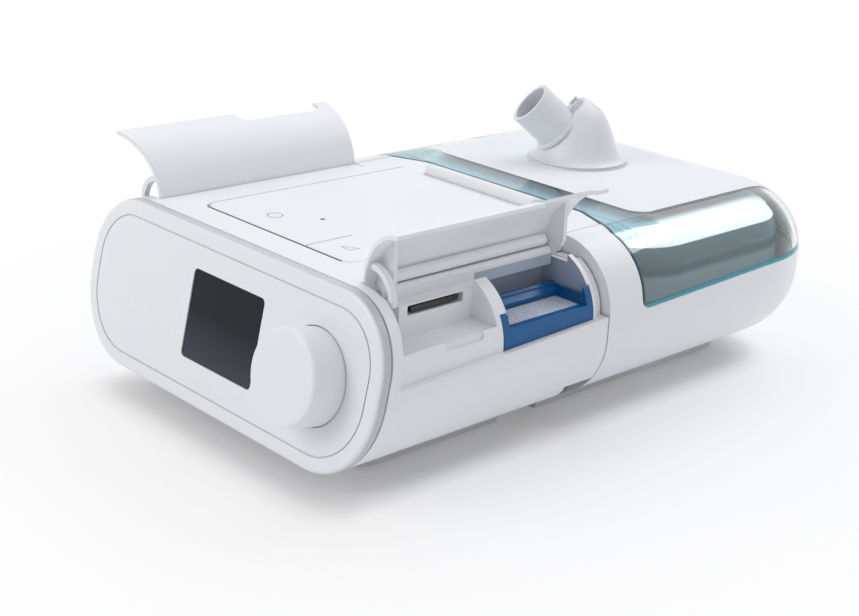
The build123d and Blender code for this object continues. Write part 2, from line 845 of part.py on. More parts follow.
# Housing of the therapy unit: one shell with the deck, a tongue that reaches over the
# humidifier, and on each side two open bays under the cover.
with BuildPart() as therapy_housing:
    add(body_prism(front - 5, seam))
    split(bisect_by=FACE.offset(-fascia_depth - gasket_depth), keep=Keep.BOTTOM)
    with BuildSketch(Plane.XY.offset(body_top - deck_tongue)):
        with BuildLine():
            Polyline((tongue_half, seam - 1), (tongue_half, front + tongue_brow - seam_gap),
                     (brow_inner, front + tongue_end), (-brow_inner, front + tongue_end),
                     (-tongue_half, front + tongue_brow - seam_gap), (-tongue_half, seam - 1),
                     close=True)
        make_face()
    extrude(amount=deck_tongue)
    add(housing_cavity(), mode=Mode.SUBTRACT)
    # Seats, hinge troughs and bays under the side covers, then the hinge barrels.
    for cut in (seat_cut, trough, bay_cut, flange_cut):
        add(sides(cut), mode=Mode.SUBTRACT)
    add(sides(barrel))
    # Card slot, the oblong finger groove below it, and the air opening under the filter.
    with BuildSketch(Plane.YZ.offset(block_x - 1)):
        with Locations((socket_at, slot_floor + slot_height / 2)):
            RectangleRounded(slot_length, slot_height, 0.8)
    extrude(amount=bay_wall_x - block_x + 2, mode=Mode.SUBTRACT)
    with BuildSketch(Plane.YZ.offset(lip_x - finger_depth + lip_width)):
        with Locations((front + finger_from + finger_length / 2,
                        belt(front + finger_from) + bay_floor)):
            SlotOverall(finger_length, finger_height)
    extrude(amount=finger_depth + lip_width, mode=Mode.SUBTRACT)
    with BuildSketch(Plane.XY.offset(block_floor - 1)):
        with Locations((intake_x, intake_y)):
            Rectangle(intake_width, intake_length)
    extrude(amount=filter_floor - block_floor + 2, mode=Mode.SUBTRACT)
    # Recesses of the keys, and the notch for the latch in the end of the tongue.
    with BuildSketch(Plane.XY.offset(key_floor)):
        add(key_outline(panel_plan, (panel_side_gap, panel_front_gap)))
    extrude(amount=panel_thick + panel_travel + 1, mode=Mode.SUBTRACT)
    with BuildSketch(Plane.XY.offset(body_top - deck_tongue - 1)):
        with Locations((0, front + (latch_front + tongue_end) / 2 - seam_gap / 2)):
            Rectangle(2 * (latch_half + seam_gap), tongue_end - latch_front + 1 + seam_gap)
    extrude(amount=deck_tongue + 2, mode=Mode.SUBTRACT)
    # Bosses of the main board, and the opening for the blower's outlet.
    with BuildSketch(Plane.XY.offset(body_floor + shell_wall)):
        with Locations(*board_corners):
            Circle(boss_radius)
            Circle(screw_radius + pin_play, mode=Mode.SUBTRACT)
    extrude(amount=board_floor - body_floor - shell_wall)
    with BuildSketch(Plane.XZ.offset(-seam)):
        with Locations((outlet_x, outlet_z)):
            Circle(outlet_radius)
    extrude(amount=shell_wall, mode=Mode.SUBTRACT)
    with BuildSketch(Plane.XY.offset(body_floor)):
        with Locations(*front_screws_at):
            Circle(screw_radius + pin_play)
    extrude(amount=shell_wall, mode=Mode.SUBTRACT)
finish(therapy_housing.part, "therapy_housing")


# ================================================================ keys of the deck
# Start key: the thin deck panel itself, which tips down a little about its rear edge.
with BuildPart() as start_button:
    with BuildSketch(Plane.XY.offset(body_top - panel_thick)):
        add(key_outline(panel_plan, (0, 0)))
        add(key_outline(ramp_plan, (panel_side_gap, running_gap)), mode=Mode.SUBTRACT)
        with Locations((lens_x, front + lens_at)):
            Circle(lens_radius, mode=Mode.SUBTRACT)
    extrude(amount=panel_thick)
    chamfer(start_button.faces().sort_by(Axis.Z)[-1].edges().filter_by(GeomType.LINE)
            .group_by(Axis.Y)[0], panel_bevel)
finish(start_button.part, "start_button")

# Ramp key, let into the right front corner of the panel.
with BuildPart() as ramp_button:
    with BuildSketch(Plane.XY.offset(body_top - panel_thick)):
        add(key_outline(ramp_plan, (0, 0)))
    extrude(amount=panel_thick)
    chamfer(ramp_button.faces().sort_by(Axis.Z)[-1].edges().filter_by(GeomType.LINE)
            .group_by(Axis.Y)[0], panel_bevel)
finish(ramp_button.part, "ramp_button")

# Light sensor's lens, pressed into the panel.
with BuildPart() as light_sensor_lens:
    with BuildSketch(Plane.XY.offset(body_top - panel_thick)):
        with Locations((lens_x, front + lens_at)):
            Circle(lens_radius)
    extrude(amount=panel_thick)
finish(light_sensor_lens.part, "light_sensor_lens")


# ================================================================ card, filter, module
# Socket of the memory card, fixed to the inner end of the slot.
with BuildPart() as card_socket:
    with BuildSketch(Plane.YZ.offset(card_x - card_play - socket_wall)):
        with Locations((socket_at, socket_floor + card_thick / 2)):
            Rectangle(card_width + 2 * (card_play + socket_wall),
                      card_thick + 2 * (card_play + socket_wall))
    extrude(amount=block_x - card_x + card_play + socket_wall)
    with BuildSketch(Plane.YZ.offset(card_x - card_play)):
        with Locations((socket_at, socket_floor + card_thick / 2 + card_play / 2)):
            Rectangle(card_width + 2 * card_play, card_thick + card_play)
    extrude(amount=card_length, mode=Mode.SUBTRACT)
finish(card_socket.part, "card_socket")

# Memory card with one cut corner; it slides in through the slot.
with BuildPart() as memory_card:
    with BuildSketch(Plane.XY.offset(socket_floor)):
        with BuildLine():
            Polyline((card_x, socket_at - card_width / 2),
                     (card_x + card_length, socket_at - card_width / 2),
                     (card_x + card_length, socket_at + card_width / 2),
                     (card_x + card_corner, socket_at + card_width / 2),
                     (card_x, socket_at + card_width / 2 - card_corner), close=True)
        make_face()
    extrude(amount=card_thick)
finish(memory_card.part, "memory_card")

flange_from = front + rib_back - flange_side
flange_to = front + arch_front + 1.0
tray_from, tray_to = front + rib_back + frame_play, front + arch_front - frame_play


def flange_edge(y):
    """Slanted lower edge of the filter frame's flange at a station."""
    return belt(y) + frame_play


# Frame of the air filter: a tray with a ledge for the filter, a flange with two posts that
# closes the bay to the outside, and a sloped bar along its inner end.
with BuildPart() as air_filter_frame:
    with BuildSketch(Plane.YZ.offset(flange_back)):
        with BuildLine():
            Polyline((flange_from, flange_edge(flange_from)), (flange_to, flange_edge(flange_to)),
                     (flange_to, post_top(flange_to)),
                     (flange_to - frame_post, post_top(flange_to)),
                     (flange_to - frame_post, frame_sill_top),
                     (flange_from + frame_post, frame_sill_top),
                     (flange_from + frame_post, post_top(flange_from)),
                     (flange_from, post_top(flange_from)), close=True)
        make_face()
    extrude(amount=frame_flange)
    add(body_prism(flange_from - 1, flange_to + 1, seat_depth),
        mode=Mode.INTERSECT)
    add(box_between(frame_back_x, flange_back, tray_from, tray_to, filter_floor,
                    frame_side_top))
    add(box_between(frame_back_x + frame_wall, flange_back, tray_from + frame_wall,
                    tray_to - frame_wall, filter_floor + media_ledge, frame_side_top),
        mode=Mode.SUBTRACT)
    add(box_between(frame_back_x + intake_inset, flange_back - media_rim,
                    tray_from + intake_inset, tray_to - intake_inset, filter_floor,
                    filter_floor + media_ledge), mode=Mode.SUBTRACT)
    with BuildSketch(Plane.XZ.offset(-tray_to)):
        with BuildLine():
            Polyline((frame_back_x, frame_side_top - 1), (frame_back_x + frame_wall + 2.2,
                                                          frame_bar_low),
                     (frame_back_x + frame_wall + 2.2, frame_bar_low + 1.8),
                     (frame_back_x, frame_bar_top), close=True)
        make_face()
    extrude(amount=tray_to - tray_from)
finish(air_filter_frame.part, "air_filter_frame")

# Filter pad, which drops into the frame.
with BuildPart() as air_filter_media:
    add(box_between(frame_back_x + frame_wall + media_play, flange_back - media_play,
                    tray_from + frame_wall + media_play,
                    tray_to - frame_wall - media_play, filter_floor + media_ledge,
                    filter_floor + media_ledge + media_thick))
finish(air_filter_media.part, "air_filter_media")

# Accessory module in the left rear bay: a closed block with a covered socket in its face.
module_x = half_width - seat_depth - module_recess
module_to = front + rear_cheek_at - 2 * running_gap
with BuildPart() as accessory_module:
    add(box_between(-module_x, -(filter_wall_x + module_play), tray_from, module_to,
                    filter_floor, module_top))
    fillet(accessory_module.edges().filter_by(Axis.Y).group_by(Axis.X)[0], module_edge)
    add(body_prism(tray_from - 1, tray_to + 1, seat_depth + module_recess),
        mode=Mode.INTERSECT)
    with BuildSketch(Plane.YZ.offset(-module_x)):
        with Locations(((tray_from + module_to) / 2, (filter_floor + module_top) / 2)):
            RectangleRounded(module_port_length, module_port_height, 1.2)
    extrude(amount=module_port_depth, mode=Mode.SUBTRACT)
finish(accessory_module.part, "accessory_module")


# ================================================================ blower and electronics
blower_y = front + blower_at
blower_plane = Plane((blower_x, blower_y, blower_floor))
blower_top = blower_floor + blower_height


def ring(plane, outer, inner, height):
    """Short tube standing on a plane."""
    with BuildPart() as tube:
        with BuildSketch(plane):
            Circle(outer)
            if inner > 0:
                Circle(inner, mode=Mode.SUBTRACT)
        extrude(amount=height)
    return tube.part


# Blower's casing: a cup with a straight outlet pipe to the rear wall.
with BuildPart() as blower_housing:
    add(ring(blower_plane, blower_radius, 0, blower_height - blower_wall))
    with BuildSketch(Plane.XZ.offset(-blower_y)):
        with Locations((outlet_x, outlet_z)):
            Circle(duct_radius + duct_wall)
    extrude(amount=-(seam - shell_wall - blower_y))
    with BuildSketch(Plane.XZ.offset(-blower_y)):
        with Locations((outlet_x, outlet_z)):
            Circle(duct_radius)
    extrude(amount=-(seam - shell_wall - blower_y), mode=Mode.SUBTRACT)
    add(ring(blower_plane.offset(blower_wall), blower_radius - blower_wall, 0,
             blower_height), mode=Mode.SUBTRACT)
finish(blower_housing.part, "blower_housing")

# Lid of the casing with the eye that the impeller draws through.
with BuildPart() as blower_lid:
    add(ring(blower_plane.offset(blower_height - blower_wall), blower_radius, blower_eye,
             blower_wall))
finish(blower_lid.part, "blower_lid")

# Soft mounts between the casing and the floor of the housing.
mount_floor = body_floor + shell_wall
with BuildPart() as blower_mounts:
    with BuildSketch(Plane((blower_x, blower_y, mount_floor))):
        with PolarLocations(blower_radius - 8, 4, start_angle=45):
            Circle(mount_radius)
    extrude(amount=blower_floor - mount_floor)
finish(blower_mounts.part, "blower_mounts")

# Motor can, fixed to the floor of the casing, bored for its shaft.
motor_plane = blower_plane.offset(blower_wall)
with BuildPart() as blower_motor:
    add(ring(motor_plane, motor_radius, motor_shaft_radius + pin_play, motor_height))
finish(blower_motor.part, "blower_motor")

with BuildPart() as motor_shaft:
    add(ring(motor_plane, motor_shaft_radius, 0, motor_height + impeller_gap
             + impeller_height))
finish(motor_shaft.part, "motor_shaft")

# Impeller: a disc with a hub and raked vanes, pressed on the motor's shaft.
impeller_plane = motor_plane.offset(motor_height + impeller_gap)
vane_length = impeller_radius - impeller_hub
with BuildPart() as blower_impeller:
    with BuildSketch(impeller_plane):
        Circle(impeller_radius)
    extrude(amount=impeller_disc)
    with BuildSketch(impeller_plane):
        Circle(impeller_hub)
    extrude(amount=impeller_height)
    with BuildSketch(impeller_plane):
        with PolarLocations(impeller_hub + vane_length / 2 - 1.2, vane_count):
            Rectangle(vane_length, vane_thick, rotation=vane_rake)
    extrude(amount=impeller_height)
    with BuildSketch(impeller_plane):
        Circle(motor_shaft_radius)
    extrude(amount=impeller_height, mode=Mode.SUBTRACT)
finish(blower_impeller.part, "blower_impeller")

# Main circuit board with its taller parts, on four bosses.
board_y = front + board_at
with BuildPart() as main_board:
    with BuildSketch(Plane.XY.offset(board_floor)):
        with Locations((board_x, board_y)):
            Rectangle(board_width, board_length)
        with Locations(*board_corners):
            Circle(screw_radius + pin_play, mode=Mode.SUBTRACT)
    extrude(amount=board_thick)
    with BuildSketch(Plane.XY.offset(board_floor + board_thick)):
        with Locations((board_x - board_chip_x, board_y - board_chip_y),
                       (board_x - board_chip_x, board_y)):
            Rectangle(board_chip, board_chip)
        with Locations((board_x - board_plug_x, board_y + board_plug_y)):
            Rectangle(board_plug_length, board_plug_width)
        with Locations((board_x - board_can_x, board_y - board_can_y),
                       (board_x - board_can_x, board_y + board_can_y)):
            Circle(board_can_radius)
    extrude(amount=board_part_height)
finish(main_board.part, "main_board")

with BuildPart() as board_screws:
    with BuildSketch(Plane.XY.offset(board_floor + board_thick)):
        with Locations(*board_corners):
            Circle(screw_head)
    extrude(amount=screw_head_height)
    with BuildSketch(Plane.XY.offset(board_floor + board_thick)):
        with Locations(*board_corners):
            Circle(screw_radius)
    extrude(amount=-(board_floor + board_thick - mount_floor))
finish(board_screws.part, "board_screws")


# ================================================================ humidifier
window_y = front + window_front
edge_back = window_edge(back)
hinge_y = back - hinge_radius
hinge_z = edge_back + hinge_radius + hinge_clear
ledge_top = body_top - deck_tongue
tank_y = front + (tank_front + body_length - tank_rear_gap) / 2
ring_y = tank_y + elbow_behind


def cover_region(gap, ahead):
    """Region of the opening cover, drawn in by gap along its lower edge."""
    y0, y1, high = window_y + ahead, back + 5, body_top + 5
    with BuildPart() as region:
        with BuildSketch(Plane.YZ.offset(-half_width)) as side:
            with BuildLine():
                Polyline((y0, window_edge(y0) + gap), (y1, window_edge(y1) + gap),
                         (y1, high), (y0, high), close=True)
            make_face()
            fillet(side.vertices().group_by(Axis.Y)[0].sort_by(Axis.Y)[0:2]
                   .sort_by(lambda v: v.Z)[0], window_corner)
        extrude(amount=body_width)
        with BuildSketch(Plane.XY.offset(tank_joint)):
            with BuildLine():
                Polyline((-brow_outer, y0 - 5), (-brow_outer, y0),
                         (-brow_inner, y0 + window_brow), (brow_inner, y0 + window_brow),
                         (brow_outer, y0), (brow_outer, y0 - 5), close=True)
            make_face()
        extrude(amount=high - tank_joint, mode=Mode.SUBTRACT)
    return region.part


def knuckle_bar(radius, x_from, x_to):
    """Round bar along the cover's hinge on both sides of the middle."""
    with BuildPart() as bars:
        for side in (-1, 1):
            with BuildSketch(Plane.YZ.offset(side * x_from)):
                with Locations((hinge_y, hinge_z)):
                    Circle(radius)
            extrude(amount=side * (x_to - x_from))
    return bars.part


knuckle_from = hinge_half + hinge_clear
knuckle_to = knuckle_from + knuckle_width


def hinge_cut():
    """What the cover's rear wall loses for the hinge."""
    with BuildPart() as cut:
        add(box_between(-knuckle_to - hinge_clear, knuckle_to + hinge_clear, back - 12,
                        back + 1, edge_back - 1, hinge_z))
        add(knuckle_bar(hinge_radius + hinge_clear, hinge_half, knuckle_to + hinge_clear))
    return cut.part


def white_plan():
    """Plan of the opaque top, open towards the rear."""
    with BuildPart() as plan:
        with BuildSketch(Plane.XY.offset(edge_back - 10)) as outline:
            with Locations((0, (front + top_front + back + 5) / 2)):
                Rectangle(2 * top_half, back + 5 - front - top_front)
            fillet(outline.vertices().group_by(Axis.Y)[0], top_corner)
        extrude(amount=body_top - edge_back + 20)
    return plan.part


ring_plane = Plane((elbow_x, ring_y, body_top))
spigot_bore = spigot_radius + pin_play
tube_radius = spigot_bore + spigot_wall

def top_shell():
    """Outer skin of the opaque top, over its whole plan."""
    with BuildPart() as shell:
        add(rear_form(window_y))
        add(rear_form(window_y - 1, top_skin), mode=Mode.SUBTRACT)
        add(white_plan(), mode=Mode.INTERSECT)
    return shell.part


# Opaque top of the opening cover, carried down over the rear to the hinge barrel.
with BuildPart() as humidifier_top:
    add(top_shell())
    add(cover_region(running_gap, front_gap), mode=Mode.INTERSECT)
    add(hinge_cut(), mode=Mode.SUBTRACT)
    with BuildSketch(Plane.YZ.offset(-hinge_half)):
        with Locations((hinge_y, hinge_z)):
            Circle(hinge_radius)
    extrude(amount=2 * hinge_half)
    add(knuckle_bar(hinge_pin_radius + pin_play, hinge_half - hinge_pin_length / 2
                    - hinge_clear, hinge_half), mode=Mode.SUBTRACT)
    add(ring(ring_plane.offset(-top_skin), ring_radius, 0, 2 * top_skin),
        mode=Mode.SUBTRACT)
finish(humidifier_top.part, "humidifier_top")

# Clear part of the opening cover: front, sides and the skin under the opaque top.
with BuildPart() as humidifier_window:
    add(rear_form(window_y))
    add(rear_form(window_y - 1, shell_wall), mode=Mode.SUBTRACT)
    add(cover_region(running_gap, front_gap), mode=Mode.INTERSECT)
    add(top_shell(), mode=Mode.SUBTRACT)
    add(hinge_cut(), mode=Mode.SUBTRACT)
    with BuildSketch(Plane.YZ.offset(-hinge_half)):
        with Locations((hinge_y, hinge_z)):
            Circle(hinge_radius)
    extrude(amount=2 * hinge_half, mode=Mode.SUBTRACT)
    add(ring(ring_plane.offset(-shell_wall - 1), tube_radius, 0, shell_wall + 2),
        mode=Mode.SUBTRACT)
finish(humidifier_window.part, "humidifier_window")

# Rear hinge pins, held in the base's knuckles.
with BuildPart() as cover_hinge_pins:
    add(knuckle_bar(hinge_pin_radius, hinge_half - hinge_pin_length / 2,
                    hinge_half + hinge_pin_length / 2))
finish(cover_hinge_pins.part, "cover_hinge_pins")

seal_plane = Plane(origin=(outlet_x, seam, outlet_z), x_dir=(1, 0, 0), z_dir=(0, 1, 0))
base_screws_at = [(i * tray_screw_x, y) for i in (-1, 1)
                  for y in (seam + tray_screw_margin, back - tray_rear_inset
                            - tray_screw_margin)]



def base_cavity():
    """Hollow of the humidifier's base, clear of the ledge under the deck's tongue."""
    with BuildPart() as cavity:
        add(rear_form(seam + hairline + shell_wall, shell_wall))
        add(box_between(-brow_outer, brow_outer, seam, front + tongue_end + 1,
                        ledge_top - shell_wall, body_top), mode=Mode.SUBTRACT)
    return cavity.part


def base_knuckles():
    """Hinge knuckles on the rear wall of the base, bored for the pins."""
    with BuildPart() as knuckles:
        add(knuckle_bar(hinge_radius, knuckle_from, knuckle_to))
        for side in (-1, 1):
            x0, x1 = sorted((side * knuckle_from, side * knuckle_to))
            add(box_between(x0, x1, hinge_y, back, edge_back - 2, hinge_z))
        add(rear_form(window_y), mode=Mode.INTERSECT)
        add(knuckle_bar(hinge_pin_radius + pin_play, hinge_half,
                        hinge_half + hinge_pin_length / 2), mode=Mode.SUBTRACT)
    return knuckles.part


# Base of the humidifier: a shell open at the top, with the arch that joins it to the
# therapy unit, the air pipe to the tank, the heater's foot and the hinge knuckles.
with BuildPart() as humidifier_base:
    add(rear_form(seam + hairline))
    add(cover_region(0, 0), mode=Mode.SUBTRACT)
    add(box_between(-tongue_half - seam_gap, tongue_half + seam_gap, seam - 1,
                    front + tongue_end + window_brow, ledge_top, body_top + 1),
        mode=Mode.SUBTRACT)
    add(base_cavity(), mode=Mode.SUBTRACT)
    add(base_knuckles())
    add(ring(seal_plane.offset(hairline + shell_wall), duct_radius + duct_wall, duct_radius,
             front + tank_front - seam - hairline - shell_wall))
    add(ring(seal_plane, duct_radius, 0, hairline + shell_wall), mode=Mode.SUBTRACT)
    add(ring(seal_plane, outlet_radius + outlet_wall + running_gap, 0, hairline + seal_size),
        mode=Mode.SUBTRACT)
    add(ring(Plane((0, tank_y, mount_floor)), heater_radius, heater_foot,
             tank_floor - heater_thick - mount_floor))
    for side in (-1, 1):
        x = side * stem_x
        add(box_between(x - stem_width / 2 - running_gap, x + stem_width / 2 + running_gap,
                        front + stem_at - running_gap,
                        front + stem_at + stem_thick + running_gap,
                        ledge_top - shell_wall, ledge_top), mode=Mode.SUBTRACT)
    add(box_between(inlet_x - inlet_width / 2, inlet_x + inlet_width / 2,
                    back - inlet_set - inlet_depth, back + 1,
                    inlet_z - inlet_height / 2, inlet_z + inlet_height / 2),
        mode=Mode.SUBTRACT)
    with BuildSketch(Plane.XY.offset(body_floor)):
        with Locations(*base_screws_at):
            Circle(screw_radius + pin_play)
    extrude(amount=shell_wall, mode=Mode.SUBTRACT)
finish(humidifier_base.part, "humidifier_base")

# Soft ring between the two units, round the air opening.
with BuildPart() as outlet_seal:
    add(ring(seal_plane, outlet_radius + outlet_wall, outlet_radius, hairline + seal_size))
finish(outlet_seal.part, "outlet_seal")

# Latch: a pad that is pressed down, with two hooked stems under it.
latch_low = body_top - deck_tongue + latch_travel + 0.2
with BuildPart() as cover_latch:
    with BuildSketch(Plane.YZ.offset(-latch_half)):
        with BuildLine():
            y0, top = front + latch_front, body_top + latch_rise
            Polyline((y0, latch_low), (y0, top - latch_bevel), (y0 + latch_bevel, top),
                     (y0 + latch_wall, top), (front + latch_back, body_top + latch_tail),
                     (front + latch_back, latch_low), close=True)
        make_face()
    extrude(amount=2 * latch_half)
    chamfer(cover_latch.faces().sort_by(Axis.X)[0].edges().sort_by(Axis.Z)[-1], latch_bevel)
    chamfer(cover_latch.faces().sort_by(Axis.X)[-1].edges().sort_by(Axis.Z)[-1], latch_bevel)
    for side in (-1, 1):
        x = side * stem_x
        y0, y1 = front + stem_at, front + stem_at + stem_thick
        hook_top = ledge_top - shell_wall - running_gap
        add(box_between(x - stem_width / 2, x + stem_width / 2, y0, y1, stem_foot,
                        latch_low + 1))
        add(box_between(x - stem_width / 2, x + stem_width / 2, y1,
                        y1 + running_gap + stem_hook, stem_foot, hook_top))
finish(cover_latch.part, "cover_latch")


def tank_form(inset):
    """Rounded block of the water tank, drawn in all round by inset."""
    with BuildPart() as form:
        with BuildSketch(Plane.XY.offset(tank_floor + inset)) as plan:
            with Locations((0, tank_y)):
                Rectangle(2 * (tank_half - inset),
                          body_length - tank_rear_gap - tank_front - 2 * inset)
            fillet(plan.vertices(), tank_corner - inset)
        extrude(amount=tank_top - tank_floor - 2 * inset)
        fillet(form.faces().sort_by(Axis.Z)[-1].edges(), tank_roll - inset)
        fillet(form.faces().sort_by(Axis.Z)[0].edges(), tank_lower_roll - inset)
    return form.part


joint_plane = Plane.XY.offset(tank_joint)
chimney_plane = Plane((elbow_x, ring_y, tank_top - tank_wall))

# Water tank: a clear tub and an opaque lid with a chimney under the elbow.
with BuildPart() as tank_base:
    add(tank_form(0))
    add(tank_form(tank_wall), mode=Mode.SUBTRACT)
    split(bisect_by=joint_plane, keep=Keep.BOTTOM)
    add(ring(seal_plane, duct_radius + duct_wall + running_gap, 0,
             front + tank_front + tank_corner - seam), mode=Mode.SUBTRACT)
finish(tank_base.part, "tank_base")

with BuildPart() as tank_lid:
    add(tank_form(0))
    add(tank_form(tank_wall), mode=Mode.SUBTRACT)
    split(bisect_by=joint_plane, keep=Keep.TOP)
    add(ring(chimney_plane, chimney_radius, 0, chimney_top - tank_top + tank_wall))
    add(ring(chimney_plane, chimney_radius - tank_wall, 0,
             chimney_top - tank_top + 2 * tank_wall), mode=Mode.SUBTRACT)
finish(tank_lid.part, "tank_lid")

# Heater plate under the tank, its control board, and the power inlet.
with BuildPart() as heater_plate:
    add(ring(Plane((0, tank_y, tank_floor - heater_thick)), heater_radius, 0, heater_thick))
finish(heater_plate.part, "heater_plate")

with BuildPart() as heater_board:
    add(box_between(-heater_board_size / 2, heater_board_size / 2,
                    tank_y - heater_board_size / 2, tank_y + heater_board_size / 2,
                    mount_floor, mount_floor + board_thick))
    add(box_between(-heater_part_length / 2, heater_part_length / 2,
                    tank_y - heater_part_width / 2, tank_y + heater_part_width / 2,
                    mount_floor, mount_floor + board_thick + heater_part_height))
finish(heater_board.part, "heater_board")

inlet_plane = Plane(origin=(inlet_x, back - inlet_set - inlet_depth, inlet_z),
                    x_dir=(1, 0, 0), z_dir=(0, 1, 0))
with BuildPart() as power_inlet:
    with BuildSketch(inlet_plane):
        Rectangle(inlet_width, inlet_height)
    extrude(amount=inlet_depth)
    with BuildSketch(inlet_plane.offset(inlet_depth)):
        Circle(inlet_bore)
        Circle(inlet_pin_radius, mode=Mode.SUBTRACT)
    extrude(amount=-inlet_depth + 2, mode=Mode.SUBTRACT)
finish(power_inlet.part, "power_inlet")


# ================================================================ elbow
# Ring in the top that the elbow turns in, with its soft seal below.
with BuildPart() as elbow_ring:
    add(ring(ring_plane.offset(-top_skin), ring_radius - hairline / 2, 0,
             top_skin + ring_proud))
    fillet(elbow_ring.faces().sort_by(Axis.Z)[-1].edges(), ring_edge)
    add(ring(ring_plane.offset(-tube_drop), tube_radius - hairline / 2, 0, tube_drop))
    add(ring(ring_plane.offset(-tube_drop), spigot_bore, 0, tube_drop + 2),
        mode=Mode.SUBTRACT)
finish(elbow_ring.part, "elbow_ring")

with BuildPart() as elbow_seal:
    add(ring(ring_plane.offset(-tube_drop - seal_lip), tube_radius - hairline / 2,
             spigot_bore + running_gap, seal_lip))
finish(elbow_seal.part, "elbow_seal")

heading, rise = radians(elbow_heading), radians(elbow_rise)
ahead_dir = Vector(-sin(heading), -cos(heading), 0)
port_dir = ahead_dir * cos(rise) + Vector(0, 0, 1) * sin(rise)
mouth = Vector(elbow_x, ring_y, body_top + mouth_above) + ahead_dir * mouth_ahead
side_dir = Vector(cos(heading), -sin(heading), 0)
mouth_plane = Plane(origin=mouth, x_dir=side_dir, z_dir=port_dir)
collar_plane = mouth_plane.offset(-port_length)
hood_plane = Plane(origin=(elbow_x, ring_y, body_top + ring_proud),
                   x_dir=ahead_dir, z_dir=side_dir)

# Elbow: a bell-shaped hood on a spigot, with the hose port on its slanted collar.
with BuildPart() as outlet_elbow:
    with BuildSketch(Plane(hood_plane.origin, x_dir=(1, 0, 0), z_dir=(0, -1, 0))):
        with BuildLine():
            foot = hood_profile[0]
            Line((0, hairline), (foot[0], hairline))
            Line((foot[0], hairline), foot)
            Spline(*hood_profile)
            Line(hood_profile[-1], (0, hairline))
        make_face()
    revolve(axis=Axis(hood_plane.origin, (0, 0, 1)))
    split(bisect_by=collar_plane, keep=Keep.BOTTOM)
    with BuildSketch(collar_plane.offset(-collar_depth)):
        Circle(port_radius + port_wall)
    extrude(amount=collar_depth)
    with BuildSketch(mouth_plane):
        Circle(port_radius)
    extrude(amount=-port_length - collar_depth)
    add(ring(ring_plane.offset(-tube_drop + running_gap), spigot_radius, 0,
             tube_drop + ring_proud + 2))
    with BuildSketch(mouth_plane):
        Circle(port_bore)
    extrude(amount=-bore_length, mode=Mode.SUBTRACT)
    add(ring(ring_plane.offset(-tube_drop), spigot_radius - spigot_wall, 0,
             tube_drop + spigot_bore_height), mode=Mode.SUBTRACT)
finish(outlet_elbow.part, "outlet_elbow")

# Small plug-in connector on top of the collar, for a heated hose.
with BuildPart() as elbow_connector:
    with BuildSketch(mouth_plane.offset(-port_length)):
        with Locations((0, connector_up)):
            Rectangle(connector_width, connector_height)
    extrude(amount=connector_length)
    with BuildSketch(mouth_plane.offset(connector_length - port_length)):
        with Locations((0, connector_up)):
            Rectangle(connector_width - 2, connector_height - 1.6)
    extrude(amount=-connector_length / 2, mode=Mode.SUBTRACT)
finish(elbow_connector.part, "elbow_connector")


# ================================================================ underside
def tub_form(y0, y1, flat_end, inset, depth):
    """Tapered block of a tray, drawn in by inset; flat_end tells which end is cut square."""
    rounded = -1 if flat_end == "front" else 0
    with BuildPart() as form:
        with BuildSketch(Plane.XY.offset(body_floor)) as plan:
            with Locations((0, (y0 + y1) / 2)):
                Rectangle(2 * (tray_top_half - inset), y1 - y0 - 2 * inset)
            fillet(plan.vertices().group_by(Axis.Y)[rounded], tray_corner - inset)
        extrude(amount=-depth, taper=tray_taper)
        if flat_end == "rear":
            with BuildSketch(Plane.XY):
                for side in (-1, 1):
                    with Locations((side * tray_top_half, seam)):
                        RectangleRounded(2 * (grip_width + inset), 2 * (grip_length + inset),
                                         grip_corner + inset)
            extrude(amount=body_floor, mode=Mode.SUBTRACT)
    return form.part


def tray(y_from, y_to, flat_end):
    """Tapered tub under one unit; the one under the front unit has two finger recesses."""
    far = 10
    y0 = y_from - far if flat_end == "front" else y_from
    y1 = y_to + far if flat_end == "rear" else y_to
    depth = body_floor - tray_floor
    with BuildPart() as tub:
        add(tub_form(y0, y1, flat_end, 0, depth))
        add(tub_form(y0, y1, flat_end, tray_wall, depth - tray_wall), mode=Mode.SUBTRACT)
        add(box_between(-tray_top_half, tray_top_half, y_from, y_to, 0, body_floor),
            mode=Mode.INTERSECT)
    return tub.part


def fitted_tray(y_from, y_to, flat_end, screw_places, foot_places):
    """Tray with its screw bosses and the recesses of its feet."""
    with BuildPart() as fitted:
        add(tray(y_from, y_to, flat_end))
        with BuildSketch(Plane.XY.offset(tray_floor)):
            with Locations(*screw_places):
                Circle(tray_boss)
        extrude(amount=body_floor - tray_floor)
        with BuildSketch(Plane.XY.offset(tray_floor)):
            with Locations(*screw_places):
                Circle(screw_radius + pin_play)
        extrude(amount=body_floor - tray_floor, mode=Mode.SUBTRACT)
        with BuildSketch(Plane.XY.offset(tray_floor)):
            with Locations(*screw_places):
                Circle(screw_head + hairline)
        extrude(amount=screw_head_height + foot_screw_sunk, mode=Mode.SUBTRACT)
        with BuildSketch(Plane.XY.offset(tray_floor)):
            with Locations(*foot_places):
                Circle(foot_radius + hairline)
        extrude(amount=foot_sunk, mode=Mode.SUBTRACT)
    return fitted.part


front_feet = [(side * foot_x, front + tray_front + foot_margin + foot_radius)
              for side in (-1, 1)]
rear_feet = [(side * foot_x, back - tray_rear_inset - foot_margin - foot_radius)
             for side in (-1, 1)]

with BuildPart() as therapy_tray:
    add(fitted_tray(front + tray_front, seam - hairline / 2, "rear", front_screws_at,
                    front_feet))
finish(therapy_tray.part, "therapy_tray")

with BuildPart() as humidifier_tray:
    add(fitted_tray(seam + hairline, back - tray_rear_inset, "front", base_screws_at,
                    rear_feet))
finish(humidifier_tray.part, "humidifier_tray")

